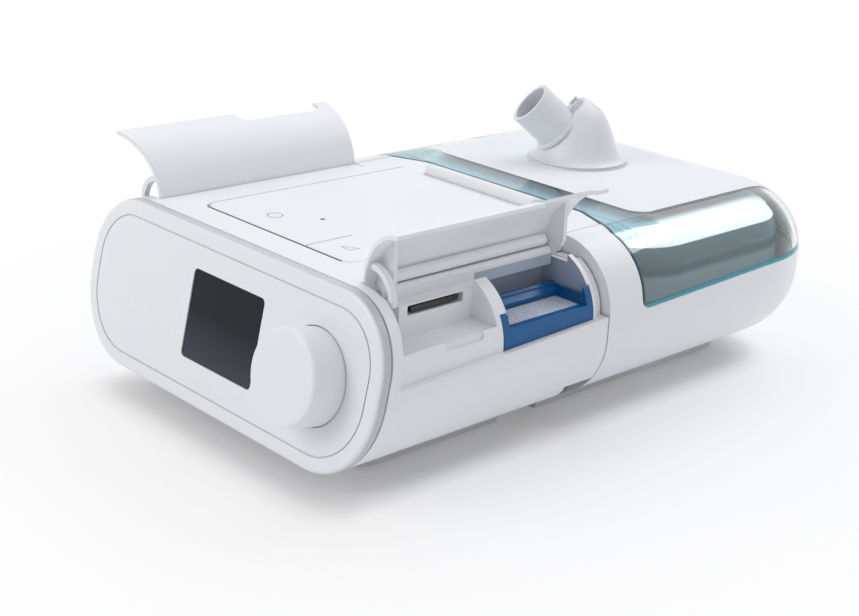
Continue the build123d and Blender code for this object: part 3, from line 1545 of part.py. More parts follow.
with BuildPart() as rubber_feet:
    with BuildSketch(Plane.XY):
        with Locations(*front_feet, *rear_feet):
            Circle(foot_radius)
    extrude(amount=foot_height)
    chamfer(rubber_feet.faces().filter_by(Axis.Z).group_by(Axis.Z)[0].edges(), foot_edge)
finish(rubber_feet.part, "rubber_feet")

# Screws that hold the trays to the shells, from below.
with BuildPart() as base_screws:
    with BuildSketch(Plane.XY.offset(tray_floor + foot_screw_sunk)):
        with Locations(*front_screws_at, *base_screws_at):
            Circle(screw_head)
    extrude(amount=screw_head_height)
    with BuildSketch(Plane.XY.offset(tray_floor + foot_screw_sunk)):
        with Locations(*front_screws_at, *base_screws_at):
            Circle(screw_radius)
    extrude(amount=body_floor + shell_wall - tray_floor - foot_screw_sunk - 2 * hairline)
finish(base_screws.part, "base_screws")
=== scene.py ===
from math import cos, radians, sin

import bpy
from mathutils import Matrix, Vector


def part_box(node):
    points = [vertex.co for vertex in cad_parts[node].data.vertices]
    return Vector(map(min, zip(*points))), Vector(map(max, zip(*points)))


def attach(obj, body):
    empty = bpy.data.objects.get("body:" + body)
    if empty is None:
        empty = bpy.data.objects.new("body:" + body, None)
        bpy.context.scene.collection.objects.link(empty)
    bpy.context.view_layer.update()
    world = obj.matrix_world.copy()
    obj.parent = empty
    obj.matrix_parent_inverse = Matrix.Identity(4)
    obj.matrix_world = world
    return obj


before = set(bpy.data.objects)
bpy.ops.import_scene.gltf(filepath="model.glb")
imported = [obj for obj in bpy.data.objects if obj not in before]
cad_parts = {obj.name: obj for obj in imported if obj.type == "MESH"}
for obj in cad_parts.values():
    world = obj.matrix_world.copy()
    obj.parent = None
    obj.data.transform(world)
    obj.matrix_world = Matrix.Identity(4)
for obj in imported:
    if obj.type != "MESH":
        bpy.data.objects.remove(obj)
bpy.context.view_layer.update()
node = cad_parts
bpy.ops.object.select_all(action="DESELECT")

# ---------------------------------------------------------------- table top
# The machine stands free on a plain pale table top of lacquered board. The board takes the soft
# shadow, a painted contact shadow where the trays come close to it, and fades into the white
# room.
floor_size = 6.0
floor_level = 0.0
board_colour = (0.94, 0.94, 0.94, 1)
lit_board = (0.86, 0.86, 0.87, 1)     # what the board throws back on the machine
contact_shadow_reach = 0.020                   # how far away a tray still darkens the board
contact_shadow_open = (0.50, 0.95)             # share of open room above it, darkest and clear
contact_shadow_glow = (0.40, 1.0)
patch_shift = (-0.03, -0.02, 0)
patch_scale = (2.8, 2.5, 1.0)         # the larger the figure, the smaller the shaded patch
patch_middle = 0.84
patch_white = (0.50, 0.50, 0.50, 1)   # share of plain white left in the middle of the patch


def carried(tree, measure, span, onto=(0.0, 1.0)):
    """Carries a measure from one span onto another, and holds it at the ends."""
    carry = tree.nodes.new("ShaderNodeMapRange")
    for socket, limit in zip(("From Min", "From Max", "To Min", "To Max"), (*span, *onto)):
        carry.inputs[socket].default_value = limit
    tree.links.new(measure, carry.inputs["Value"])
    return carry.outputs["Result"]


bpy.ops.mesh.primitive_plane_add(size=floor_size, location=(0, 0, floor_level))
floor = bpy.context.object
floor.name = "table_top"

floor_look = bpy.data.materials.new("table_top")
floor_look.use_nodes = True
tree = floor_look.node_tree
shade = tree.nodes["Principled BSDF"]
shade.inputs["Base Color"].default_value = board_colour
shade.inputs["Roughness"].default_value = 0.6
shade.inputs["Specular IOR Level"].default_value = 0.2
# Painted contact shadow: the board's white glow is dimmed where a tray or foot comes within
# reach.
contact_shadow_ao = tree.nodes.new("ShaderNodeAmbientOcclusion")
contact_shadow_ao.samples = 8
contact_shadow_ao.inputs["Distance"].default_value = contact_shadow_reach
glow = tree.nodes.new("ShaderNodeEmission")
glow.inputs["Color"].default_value = (1, 1, 1, 1)
tree.links.new(carried(tree, contact_shadow_ao.outputs["AO"], contact_shadow_open, contact_shadow_glow),
               glow.inputs["Strength"])
place = tree.nodes.new("ShaderNodeTexCoord")
spread = tree.nodes.new("ShaderNodeMapping")
spread.inputs["Location"].default_value = patch_shift
spread.inputs["Scale"].default_value = patch_scale
fade = tree.nodes.new("ShaderNodeTexGradient")
fade.gradient_type = "SPHERICAL"
ramp = tree.nodes.new("ShaderNodeValToRGB")
ramp.color_ramp.interpolation = "EASE"
ramp.color_ramp.elements[0].color = (1, 1, 1, 1)
ramp.color_ramp.elements[1].color = patch_white
ramp.color_ramp.elements[1].position = patch_middle
mix = tree.nodes.new("ShaderNodeMixShader")
tree.links.new(place.outputs["Object"], spread.inputs["Vector"])
tree.links.new(spread.outputs["Vector"], fade.inputs["Vector"])
tree.links.new(fade.outputs["Fac"], ramp.inputs["Fac"])
tree.links.new(ramp.outputs["Color"], mix.inputs["Fac"])
tree.links.new(shade.outputs["BSDF"], mix.inputs[1])
tree.links.new(glow.outputs["Emission"], mix.inputs[2])

# Light that comes off the board onto the machine is that of a plain pale surface.
cast_back = tree.nodes.new("ShaderNodeBsdfDiffuse")
cast_back.inputs["Color"].default_value = lit_board
rays = tree.nodes.new("ShaderNodeLightPath")
plain = tree.nodes.new("ShaderNodeMixShader")
tree.links.new(rays.outputs["Is Diffuse Ray"], plain.inputs["Fac"])
tree.links.new(mix.outputs["Shader"], plain.inputs[1])
tree.links.new(cast_back.outputs["BSDF"], plain.inputs[2])
tree.links.new(plain.outputs["Shader"], tree.nodes["Material Output"].inputs["Surface"])
floor.data.materials.append(floor_look)

# ---------------------------------------------------------------- studio light
# Four soft boxes in a white room: the key above the left rear, a strip behind, a broad one
# at the front left and a weak one on the right. The room lights the machine faintly, and is
# plain white where it is seen, mirrored in the plastic or looked at through the clear parts.
room_light = (0.97, 0.97, 1.0, 1)
room_strength = 0.41
lamps = (
    # name, place, aim, width and height, watts, colour
    ("key_lamp", (-0.45, 0.45, 1.5), (0.0, 0.0, 0.05), (1.5, 1.5), 8.6, (0.90, 0.94, 1.0)),
    ("rear_strip", (0.15, 1.05, 1.15), (0.03, 0.05, 0.08), (1.3, 0.34), 5.4, (0.92, 0.95, 1.0)),
    ("front_lamp", (-0.55, -1.35, 0.85), (-0.03, -0.1, 0.06), (1.0, 1.0), 9.6, (1.0, 0.985, 1.0)),
    ("side_lamp", (1.35, 0.15, 1.15), (0.05, 0.0, 0.05), (1.0, 1.0), 2.7, (1.0, 0.98, 1.0)))


def reckon(tree, operation, first, second=0.0, third=0.0, clamp=False):
    """Arithmetic on the measures of a pattern."""
    step = tree.nodes.new("ShaderNodeMath")
    step.operation = operation
    step.use_clamp = clamp
    for socket, value in zip(step.inputs, (first, second, third)):
        if isinstance(value, float):
            socket.default_value = value
        else:
            tree.links.new(value, socket)
    return step.outputs["Value"]


world = bpy.data.worlds.new("studio")
bpy.context.scene.world = world
world.use_nodes = True
air = world.node_tree
surround = air.nodes["Background"]
surround.inputs["Color"].default_value = room_light
surround.inputs["Strength"].default_value = room_strength
white = air.nodes.new("ShaderNodeBackground")
white.inputs["Color"].default_value = (1, 1, 1, 1)
white.inputs["Strength"].default_value = 1.0
rays = air.nodes.new("ShaderNodeLightPath")
seen = reckon(air, "MAXIMUM", rays.outputs["Is Camera Ray"], rays.outputs["Is Transmission Ray"])
seen = reckon(air, "MAXIMUM", seen, rays.outputs["Is Glossy Ray"])
pick = air.nodes.new("ShaderNodeMixShader")
air.links.new(seen, pick.inputs["Fac"])
air.links.new(surround.outputs["Background"], pick.inputs[1])
air.links.new(white.outputs["Background"], pick.inputs[2])
air.links.new(pick.outputs["Shader"], air.nodes["World Output"].inputs["Surface"])

for name, place_at, aim, size, power, hue in lamps:
    lamp = bpy.data.lights.new(name, "AREA")
    lamp.color = hue
    lamp.shape = "RECTANGLE"
    lamp.size, lamp.size_y = size
    lamp.energy = power
    lamp_object = bpy.data.objects.new(name, lamp)
    bpy.context.scene.collection.objects.link(lamp_object)
    lamp_object.location = place_at
    away = Vector(place_at) - Vector(aim)
    lamp_object.rotation_euler = away.to_track_quat("Z", "Y").to_euler()

# ---------------------------------------------------------------- camera
# A long lens off the machine's front right corner, a little above it and turned by some
# three degrees. The lens is shifted, so its axis meets the frame right of and above the middle.
heading = radians(45.12)
height_angle = radians(19.05)
roll = 0.05432
camera_at = Vector((0.4720, -0.4648, 0.2700))
frame_width = 859
frame_height = 616
focal_pixels = 1531.54
centre_pixel = (473.85, 282.37)
sensor = 36.0

backwards = Vector((sin(heading) * cos(height_angle), -cos(heading) * cos(height_angle),
                    sin(height_angle)))
rightwards = Vector((cos(heading), sin(heading), 0))
upwards = backwards.cross(rightwards)
rightwards, upwards = (cos(roll) * rightwards + sin(roll) * upwards,
                       cos(roll) * upwards - sin(roll) * rightwards)
camera_data = bpy.data.cameras.new("camera")
camera_data.sensor_width = sensor
camera_data.lens = sensor * focal_pixels / frame_width
camera_data.shift_x = (frame_width / 2 - centre_pixel[0]) / frame_width
camera_data.shift_y = (centre_pixel[1] - frame_height / 2) / frame_width
camera_data.clip_start = 0.01
camera_data.clip_end = 100
camera = bpy.data.objects.new("camera", camera_data)
bpy.context.scene.collection.objects.link(camera)
turn = Matrix((rightwards, upwards, backwards)).transposed().to_4x4()
camera.matrix_world = Matrix.Translation(camera_at) @ turn
bpy.context.scene.camera = camera
bpy.context.scene.view_settings.view_transform = "Standard"

# ---------------------------------------------------------------- front panel
# The raked front is one injection-moulded panel in bright white ABS with a fine even gloss,
# with painted shade, a grey, where its rim rolls over to the sides. It is pressed into the
# housing over a soft dark grey gasket, which shows as a thin line all round.
panel_white = (0.84, 0.85, 0.865)
rim_painted_shade = (0.56, 0.565, 0.58)
rim_shade_turn = (-0.80, -0.15)    # how far the rim has turned from the front, white and full grey
cloud_scale, cloud_detail = 14.0, 3.0
cloud_share = 0.02           # how much the clouding lightens or darkens the colour
cloud_gloss = 0.04
cloud_span = (0.3, 0.7)
grain_strength = 0.35
soft_edge = 0.0005           # radius to which sharp edges look broken


def speckle(tree, place, scale, detail=2.0):
    """Random clouding over the object, from 0 to 1."""
    cloud = tree.nodes.new("ShaderNodeTexNoise")
    cloud.inputs["Scale"].default_value = scale
    cloud.inputs["Detail"].default_value = detail
    tree.links.new(place, cloud.inputs["Vector"])
    return cloud.outputs["Fac"]


def raised(tree, pattern, strength, depth):
    """Lets a pattern stand out from the surface a little."""
    relief = tree.nodes.new("ShaderNodeBump")
    relief.inputs["Strength"].default_value = strength
    relief.inputs["Distance"].default_value = depth
    tree.links.new(pattern, relief.inputs["Height"])
    tree.links.new(relief.outputs["Normal"], tree.nodes["Principled BSDF"].inputs["Normal"])
    return relief


def moulded_plastic(name, colour, roughness, grain, grain_depth):
    """Moulded plastic: fine grain, faint clouding of its colour, and edges softly broken."""
    look = bpy.data.materials.new(name)
    look.use_nodes = True
    tree = look.node_tree
    shade = tree.nodes["Principled BSDF"]
    shade.inputs["IOR"].default_value = 1.5
    place = tree.nodes.new("ShaderNodeTexCoord").outputs["Object"]
    cloud = speckle(tree, place, cloud_scale, cloud_detail)
    tint = tree.nodes.new("ShaderNodeMix")
    tint.data_type = "RGBA"
    tint.inputs[6].default_value = (*[c * (1 - cloud_share) for c in colour], 1)
    tint.inputs[7].default_value = (*[min(1.0, c * (1 + cloud_share / 2)) for c in colour], 1)
    tree.links.new(cloud, tint.inputs[0])
    tree.links.new(tint.outputs[2], shade.inputs["Base Color"])
    gloss = carried(tree, cloud, cloud_span, (roughness - cloud_gloss, roughness + cloud_gloss))
    tree.links.new(gloss, shade.inputs["Roughness"])
    relief = raised(tree, speckle(tree, place, grain), grain_strength, grain_depth)
    broken = tree.nodes.new("ShaderNodeBevel")
    broken.samples = 6
    broken.inputs["Radius"].default_value = soft_edge
    tree.links.new(broken.outputs["Normal"], relief.inputs["Normal"])
    return look


def tinted_where(look, mask, colour):
    """Turns a finish to another colour where the mask is 1."""
    tree = look.node_tree
    surface = tree.nodes["Principled BSDF"].inputs["Base Color"]
    turned = tree.nodes.new("ShaderNodeMix")
    turned.data_type = "RGBA"
    turned.inputs[7].default_value = (*colour, 1)
    if surface.is_linked:
        tree.links.new(surface.links[0].from_socket, turned.inputs[6])
    else:
        turned.inputs[6].default_value = surface.default_value
    tree.links.new(mask, turned.inputs[0])
    tree.links.new(turned.outputs[2], surface)


def facing_way(tree, normal="True Normal"):
    """The X, Y and Z parts of the direction in which the surface faces."""
    geometry = tree.nodes.new("ShaderNodeNewGeometry")
    parts = tree.nodes.new("ShaderNodeSeparateXYZ")
    tree.links.new(geometry.outputs[normal], parts.inputs["Vector"])
    return parts.outputs["X"], parts.outputs["Y"], parts.outputs["Z"]


def dress(name, look):
    """Gives a carried-over piece its finish."""
    slots = node[name].data.materials
    slots.clear()
    slots.append(look)


front_white = moulded_plastic("front_white", panel_white, 0.30, 900.0, 0.00004)
# Painted shade: the rim turns grey as it faces away to the sides.
rearward = facing_way(front_white.node_tree, "Normal")[1]
tinted_where(front_white, carried(front_white.node_tree, rearward, rim_shade_turn), rim_painted_shade)
dress("front_fascia", front_white)
gasket_grey = moulded_plastic("gasket_grey", (0.30, 0.305, 0.32), 0.6, 900.0, 0.00004)
dress("fascia_gasket", gasket_grey)

# ---------------------------------------------------------------- screen
# A hard-coated, nearly black window lies just under the front surface, painted lighter towards
# its foot as a painted reflection. The colour display behind it is a flat module in a dark case,
# screwed to the back of the panel.
screen_low, screen_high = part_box("display_window")
screen_painted_reflection = (0.036, 0.046, 0.060, 1)
screen_head = (0.001, 0.003, 0.008, 1)
screen_dark_at = 0.55        # share of its height from which it is darkest


def across_along_up(tree):
    """The object's own X, Y and Z, for a pattern that keeps to a place on it."""
    place = tree.nodes.new("ShaderNodeTexCoord")
    parts = tree.nodes.new("ShaderNodeSeparateXYZ")
    tree.links.new(place.outputs["Object"], parts.inputs["Vector"])
    return parts.outputs["X"], parts.outputs["Y"], parts.outputs["Z"]


screen_black = bpy.data.materials.new("screen_black")
screen_black.use_nodes = True
tree = screen_black.node_tree
shade = tree.nodes["Principled BSDF"]
shade.inputs["Roughness"].default_value = 0.10
shade.inputs["Specular IOR Level"].default_value = 0.19
height = across_along_up(tree)[2]
# Painted reflection: the window is lighter towards its foot, as if the bright table showed in it.
depth = tree.nodes.new("ShaderNodeValToRGB")
depth.color_ramp.elements[0].color = screen_painted_reflection
depth.color_ramp.elements[1].color = screen_head
depth.color_ramp.elements[1].position = screen_dark_at
tree.links.new(carried(tree, height, (screen_low[2], screen_high[2])), depth.inputs["Fac"])
tree.links.new(depth.outputs["Color"], shade.inputs["Base Color"])
dress("display_window", screen_black)
inner_dark = moulded_plastic("inner_dark", (0.03, 0.032, 0.035), 0.5, 1500.0, 0.0001)
dress("display_module", inner_dark)

# ---------------------------------------------------------------- control dial
# A hollow white knob with a softly rounded rim, pressed on a turned steel shaft. The shaft
# slides in its dark encoder can, which is fixed to the back of the panel.
steel_gloss = (0.22, 0.42)
turning_scale = 600.0
turning_marks = (1.0, 0.05, 1.0)     # drawn out along the machine

dial_white = moulded_plastic("dial_white", (0.84, 0.85, 0.87), 0.30, 1400.0, 0.00005)
dress("control_dial", dial_white)
plain_steel = bpy.data.materials.new("plain_steel")
plain_steel.use_nodes = True
tree = plain_steel.node_tree
shade = tree.nodes["Principled BSDF"]
shade.inputs["Metallic"].default_value = 1.0
shade.inputs["Base Color"].default_value = (0.62, 0.62, 0.63, 1)
place = tree.nodes.new("ShaderNodeTexCoord")
spread = tree.nodes.new("ShaderNodeMapping")
spread.inputs["Scale"].default_value = turning_marks
tree.links.new(place.outputs["Object"], spread.inputs["Vector"])
marks = speckle(tree, spread.outputs["Vector"], turning_scale)
tree.links.new(carried(tree, marks, (0.0, 1.0), steel_gloss), shade.inputs["Roughness"])
dress("dial_shaft", plain_steel)
dress("dial_encoder", inner_dark)

# ---------------------------------------------------------------- therapy housing
# One white moulded shell carries the deck, the tongue over the humidifier and the side bays.
# The filter bay carries painted shade, a blue-grey, the joint with the humidifier and the drain
# channel beside it are lined in grey, and the painted shade of a grip hollow lies low at the rear
# corners.
body_white = (0.85, 0.86, 0.875)
body_finish = (0.38, 1500.0, 0.00005)    # roughness, grain and depth of the grain
front_foot = -0.143237                   # foot of the raked front
bay_from, bay_to = front_foot + 0.0763, front_foot + 0.1232
bay_low, bay_high = 0.0574, 0.0792
bay_inner = 0.0646
joint_at = front_foot + 0.1313
joint_before, joint_behind = 0.0006, 0.0003
joint_outer = 0.060                      # nearer the middle, the tongue covers the joint
channel_from = joint_at - 0.0058
channel_line = 0.0007
grip_from, grip_level = 0.1190, 0.0185   # a point on the hollow's leaning front edge
grip_lean = 0.53
grip_high = 0.0272
grip_outer = 0.060
grip_line = 0.0028                       # width of the deepest part, along that edge
bay_painted_shade = (0.40, 0.46, 0.55)
joint_grey = (0.36, 0.365, 0.38)
grip_painted_shade = (0.13, 0.135, 0.145)
grip_painted_deep_shade = (0.015, 0.016, 0.018)


def between(tree, *limits):
    """1 where every measure keeps between its two limits, and 0 elsewhere."""
    kept = None
    for measure, low, high in limits:
        for test, limit in (("GREATER_THAN", low), ("LESS_THAN", high)):
            if limit is None:
                continue
            passed = reckon(tree, test, measure, limit)
            kept = passed if kept is None else reckon(tree, "MULTIPLY", kept, passed)
    return kept


housing_white = moulded_plastic("housing_white", body_white, *body_finish)
tree = housing_white.node_tree
across, along, height = across_along_up(tree)
sideways = reckon(tree, "ABSOLUTE", across)
# Painted shade: the walls of the filter bay are turned blue-grey, as if in the cover's shadow.
in_bay_shade = between(tree, (along, bay_from, bay_to), (height, bay_low, bay_high),
                 (across, bay_inner, None))
tinted_where(housing_white, in_bay_shade, bay_painted_shade)
in_joint = between(tree, (along, joint_at - joint_before, joint_at + joint_behind),
                   (sideways, joint_outer, None))
in_channel = between(tree, (along, channel_from, channel_from + channel_line),
                     (height, bay_low, None), (sideways, bay_inner, None))
tinted_where(housing_white, reckon(tree, "MAXIMUM", in_joint, in_channel), joint_grey)
# Painted shade of a grip hollow that the shell does not have: a dark patch, darkest along its
# leaning front edge.
grip_edge = reckon(tree, "MULTIPLY_ADD", height, -grip_lean,
                   front_foot + grip_from + grip_lean * grip_level)
past_edge = reckon(tree, "SUBTRACT", along, grip_edge)
for reach, colour in ((None, grip_painted_shade), (grip_line, grip_painted_deep_shade)):
    in_grip_shade = between(tree, (past_edge, 0.0, reach), (height, None, grip_high),
                      (sideways, grip_outer, None))
    tinted_where(housing_white, in_grip_shade, colour)
dress("therapy_housing", housing_white)

# ---------------------------------------------------------------- deck keys
# The deck panel is itself a thin moulded key plate that dips when it is pressed, with the
# ramp key and a dark lens let into it. The key symbols are printed: a plain ring for start,
# and a small ramp. A thin black strip in the gap along the panel's front edge is painted shade.
shell_white = moulded_plastic("shell_white", body_white, *body_finish)
dress("start_button", shell_white)
dress("ramp_button", shell_white)
dress("light_sensor_lens", inner_dark)

panel_low, panel_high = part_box("start_button")
deck_height = panel_high[2]
print_rise = 0.00003
ring_at = (-0.0200, -0.0937, deck_height)
ring_radius = 0.0034
ring_line = 0.12         # share of the radius
ramp_corners = ((0.0279, -0.0977), (0.0347, -0.0932), (0.0340, -0.0984))
ramp_line = 0.00032
print_grey = moulded_plastic("print_grey", (0.20, 0.21, 0.23), 0.5, 900.0, 0.00002)

bpy.ops.mesh.primitive_circle_add(vertices=64, radius=ring_radius, location=ring_at)
start_symbol = bpy.context.object
start_symbol.name = "start_symbol"
bpy.ops.object.mode_set(mode="EDIT")
bpy.ops.mesh.select_all(action="SELECT")
bpy.ops.mesh.extrude_edges_move()
bpy.ops.transform.resize(value=(1 - ring_line,) * 3, center_override=ring_at)
bpy.ops.mesh.select_all(action="SELECT")
bpy.ops.mesh.normals_make_consistent(inside=False)
bpy.ops.object.mode_set(mode="OBJECT")

bpy.ops.mesh.primitive_circle_add(vertices=3, radius=ring_radius, fill_type="NGON",
                                  location=(0, 0, deck_height))
ramp_symbol = bpy.context.object
ramp_symbol.name = "ramp_symbol"
for corner, (x, y) in zip(ramp_symbol.data.vertices, ramp_corners):
    corner.co = (x, y, 0)
bpy.ops.object.mode_set(mode="EDIT")
bpy.ops.mesh.select_all(action="SELECT")
bpy.ops.mesh.inset(thickness=ramp_line, use_boundary=True)
bpy.ops.mesh.delete(type="FACE")
bpy.ops.mesh.select_all(action="SELECT")
bpy.ops.mesh.normals_make_consistent(inside=False)
bpy.ops.object.mode_set(mode="OBJECT")

for symbol, key in ((start_symbol, "start_key"), (ramp_symbol, "ramp_key")):
    bpy.ops.object.select_all(action="DESELECT")
    symbol.select_set(True)
    bpy.context.view_layer.objects.active = symbol
    bpy.ops.object.transform_apply(location=True, rotation=True, scale=True)
    thick = symbol.modifiers.new("thickness", "SOLIDIFY")
    thick.thickness = 2 * print_rise
    thick.offset = 0.0
    bpy.ops.object.modifier_apply(modifier="thickness")
    symbol.data.materials.append(print_grey)
    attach(symbol, key)

# Painted shade: a thin black strip in the gap under the panel's front edge, where the gap lies in
# shadow.
shade_strip_drop = 0.00022       # how far the lip's top lies under the deck
shade_strip_height = 0.0007
shade_strip_front, shade_strip_back = panel_low[1] - 0.0007, panel_low[1] + 0.0007
shade_strip_left = panel_low[0] + 0.0010
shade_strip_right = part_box("ramp_button")[1][0] - 0.0052
shade_strip_middle = ((shade_strip_left + shade_strip_right) / 2, (shade_strip_front + shade_strip_back) / 2,
              deck_height - shade_strip_drop - shade_strip_height / 2)
bpy.ops.mesh.primitive_cube_add(size=1.0, location=shade_strip_middle)
shade_strip = bpy.context.object
shade_strip.name = "shade_strip"
shade_strip.scale = (shade_strip_right - shade_strip_left, shade_strip_back - shade_strip_front, shade_strip_height)
bpy.ops.object.transform_apply(location=True, rotation=True, scale=True)
round_off = shade_strip.modifiers.new("round", "BEVEL")
round_off.width = 0.0001
round_off.segments = 2
bpy.ops.object.modifier_apply(modifier="round")
shade_strip_black = moulded_plastic("shade_strip_black", (0.02, 0.02, 0.022), 0.7, 900.0, 0.00003)
shade_strip.data.materials.append(shade_strip_black)
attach(shade_strip, "start_key")
bpy.ops.object.select_all(action="DESELECT")

# ---------------------------------------------------------------- side covers
# Each cover is one curved white moulding with a bead along its hinge edge, two cheeks and a
# stay, and it swings on a steel pin held in the housing. The web under the right cover's
# bead carries the bay's painted shade, a blue-grey, where it hangs over the bay.
web_outer = 0.0736
web_high = 0.0776
web_painted_shade = (0.50, 0.56, 0.65)

cover_white = moulded_plastic("cover_white", body_white, *body_finish)
tree = cover_white.node_tree
across, along, height = across_along_up(tree)
# Painted shade on the web, as on the walls of the bay beneath it.
web = between(tree, (along, bay_from, bay_to), (across, None, web_outer),
              (height, None, web_high))
tinted_where(cover_white, web, web_painted_shade)
dress("card_cover", cover_white)
dress("accessory_cover", shell_white)
dress("card_cover_pin", plain_steel)
dress("accessory_cover_pin", plain_steel)

# ---------------------------------------------------------------- memory card
# A small black card with one cut corner slides into its slot in the front bay, as far as a
# dark plastic socket that is fixed to the inner end of the slot.
card_black = moulded_plastic("card_black", (0.02, 0.02, 0.022), 0.35, 1200.0, 0.00005)
dress("card_socket", inner_dark)
dress("memory_card", card_black)

# ---------------------------------------------------------------- air filter
# The filter frame is a deep blue moulded tray that slides in from the side, and its outer
# flange closes the bay. A pad of white fibres, thinner in some places, drops into it.
fibre_white = (0.68, 0.73, 0.83)
fibre_shade = (0.46, 0.51, 0.62)
fibre_scale, fibre_detail = 1100.0, 3.0
fibre_thin = (0.42, 0.62)

filter_blue = moulded_plastic("filter_blue", (0.004, 0.105, 0.30), 0.30, 1500.0, 0.00005)
filter_blue.node_tree.nodes["Principled BSDF"].inputs["Specular IOR Level"].default_value = 0.35
dress("air_filter_frame", filter_blue)
fleece = moulded_plastic("fleece", fibre_white, 0.9, 1800.0, 0.0006)
tree = fleece.node_tree
place = tree.nodes.new("ShaderNodeTexCoord").outputs["Object"]
thin = carried(tree, speckle(tree, place, fibre_scale, fibre_detail), fibre_thin)
tinted_where(fleece, thin, fibre_shade)
dress("air_filter_media", fleece)

# ---------------------------------------------------------------- accessory module
# A closed grey block with a finely textured skin fills the left rear bay. It has a covered
# socket in its outer face, slides in sideways, and can be drawn out again.
grey_textured = moulded_plastic("grey_textured", (0.60, 0.61, 0.63), 0.48, 2200.0, 0.0001)
dress("accessory_module", grey_textured)

# ---------------------------------------------------------------- blower
# A dark two-part casing stands on soft black mounts in the housing. A white impeller turns
# in it, pressed on the steel shaft of the motor that is fixed to the casing's floor.
soft_black = moulded_plastic("soft_black", (0.05, 0.05, 0.055), 0.75, 900.0, 0.0001)
for name in ("blower_housing", "blower_lid"):
    dress(name, inner_dark)
dress("blower_mounts", soft_black)
dress("blower_impeller", shell_white)
dress("blower_motor", plain_steel)
dress("motor_shaft", plain_steel)

# ---------------------------------------------------------------- main board
# The green circuit board lies on four bosses of the housing, with its taller parts on it,
# and is held down by steel screws.
board_green = moulded_plastic("board_green", (0.02, 0.12, 0.06), 0.35, 500.0, 0.0001)
dress("main_board", board_green)
dress("board_screws", plain_steel)

# ---------------------------------------------------------------- humidifier base
# A white moulded shell, open at the top, that joins the rear of the therapy unit with a soft
# ring round the air opening. The inner faces of its rear wall, behind the tank, carry painted
# shade, a dark grey, and so do those of the cover above it.
inner_turn = -0.25       # those that face forward at least this much
inner_from = front_foot + 0.272
inner_low = 0.0555
behind_tank_painted_shade = (0.10, 0.17, 0.20)


def paint_shade_behind_tank(look):
    """Paints shade on the inner faces of the rear wall, behind the tank, in a dark grey."""
    tree = look.node_tree
    along, height = across_along_up(tree)[1:]
    rearward = facing_way(tree)[1]
    inner = between(tree, (rearward, None, inner_turn), (along, inner_from, None),
                    (height, inner_low, None))
    tinted_where(look, inner, behind_tank_painted_shade)


base_white = moulded_plastic("base_white", body_white, *body_finish)
paint_shade_behind_tank(base_white)
dress("humidifier_base", base_white)
dress("outlet_seal", soft_black)

# ---------------------------------------------------------------- humidifier top
# The matt white top is the opaque half of the opening cover and is moulded on its own. Its
# cut edge shows the teal of the clear half that lies under it. The cover turns on steel pins
# in the base's rear wall and is held shut by a white latch with two hooked stems.
edge_upright = 0.5       # faces that look up or down less than this belong to the cut edge
edge_forward = 0.35      # those that look rearward more than this stay white
edge_low = 0.0765
edge_blue = (0.07, 0.25, 0.31)

top_white = moulded_plastic("top_white", (0.84, 0.855, 0.88), 0.55, 1500.0, 0.00005)
tree = top_white.node_tree
tree.nodes["Principled BSDF"].inputs["Specular IOR Level"].default_value = 0.25
height = across_along_up(tree)[2]
rearward, upward = facing_way(tree)[1:]
cut_edge = between(tree, (reckon(tree, "ABSOLUTE", upward), None, edge_upright),
                   (rearward, None, edge_forward), (height, edge_low, None))
tinted_where(top_white, cut_edge, edge_blue)
paint_shade_behind_tank(top_white)
dress("humidifier_top", top_white)
dress("cover_hinge_pins", plain_steel)
dress("cover_latch", shell_white)

# ---------------------------------------------------------------- clear window
# The clear half of the cover is moulded in a pale blue-green plastic with polished faces,
# and the white top is bonded over its middle. Its lower and front edges are tinted teal, and
# a smoked strip with two fine lines lies between the deck and the top.
window_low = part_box("humidifier_window")[0]
edge_slope = 0.030       # rise of the lower edge towards the rear
edge_line = 0.0011       # height of the tinted edges
brow_step = 0.010        # how far the front edge steps back behind the latch
brow_inner = 0.050
brow_outer = 0.076
strip_to = 0.0300
strip_low = 0.0805
strip_lines = (0.0062, 0.0110)
strip_line = 0.00045     # half the width of a line
rear_from = 0.1210       # past the end of the tank's lid
rear_run = 0.012
joint_reach = 0.0016     # how near the two halves of the cover lie where they touch
joint_open = (0.45, 0.80)
edge_body = 0.8          # how much of their clearness the tinted edges lose
rear_body = 0.5
window_tint = (0.955, 0.99, 0.992)
rear_painted_shade = (0.10, 0.21, 0.25)
strip_tint = (0.44, 0.62, 0.68)
line_tint = (0.13, 0.31, 0.37)
edge_teal = (0.035, 0.36, 0.43)
edge_joint = (0.05, 0.22, 0.28)
edge_green = (0.008, 0.085, 0.095)

window_clear = bpy.data.materials.new("window_clear")
window_clear.use_nodes = True
tree = window_clear.node_tree
shade = tree.nodes["Principled BSDF"]
shade.inputs["Base Color"].default_value = (*window_tint, 1)
shade.inputs["Roughness"].default_value = 0.02
shade.inputs["IOR"].default_value = 1.49
across, along, height = across_along_up(tree)
behind = reckon(tree, "SUBTRACT", along, window_low[1])
sideways = reckon(tree, "ABSOLUTE", across)

# Past the end of the tank's lid there is only the rear wall to look at; the clear skin is painted
# with its shade there.
rear = reckon(tree, "SUBTRACT", behind, rear_from)
rear = reckon(tree, "DIVIDE", rear, rear_run, clamp=True)
tinted_where(window_clear, rear, rear_painted_shade)

# The smoked strip, and the two lines across it.
strip = between(tree, (behind, None, strip_to), (height, strip_low, None))
tinted_where(window_clear, strip, strip_tint)
lines = 0.0
for line_at in strip_lines:
    off_line = reckon(tree, "ABSOLUTE", reckon(tree, "SUBTRACT", behind, line_at))
    lines = reckon(tree, "MAXIMUM", reckon(tree, "LESS_THAN", off_line, strip_line), lines)
tinted_where(window_clear, reckon(tree, "MULTIPLY", lines, strip), line_tint)

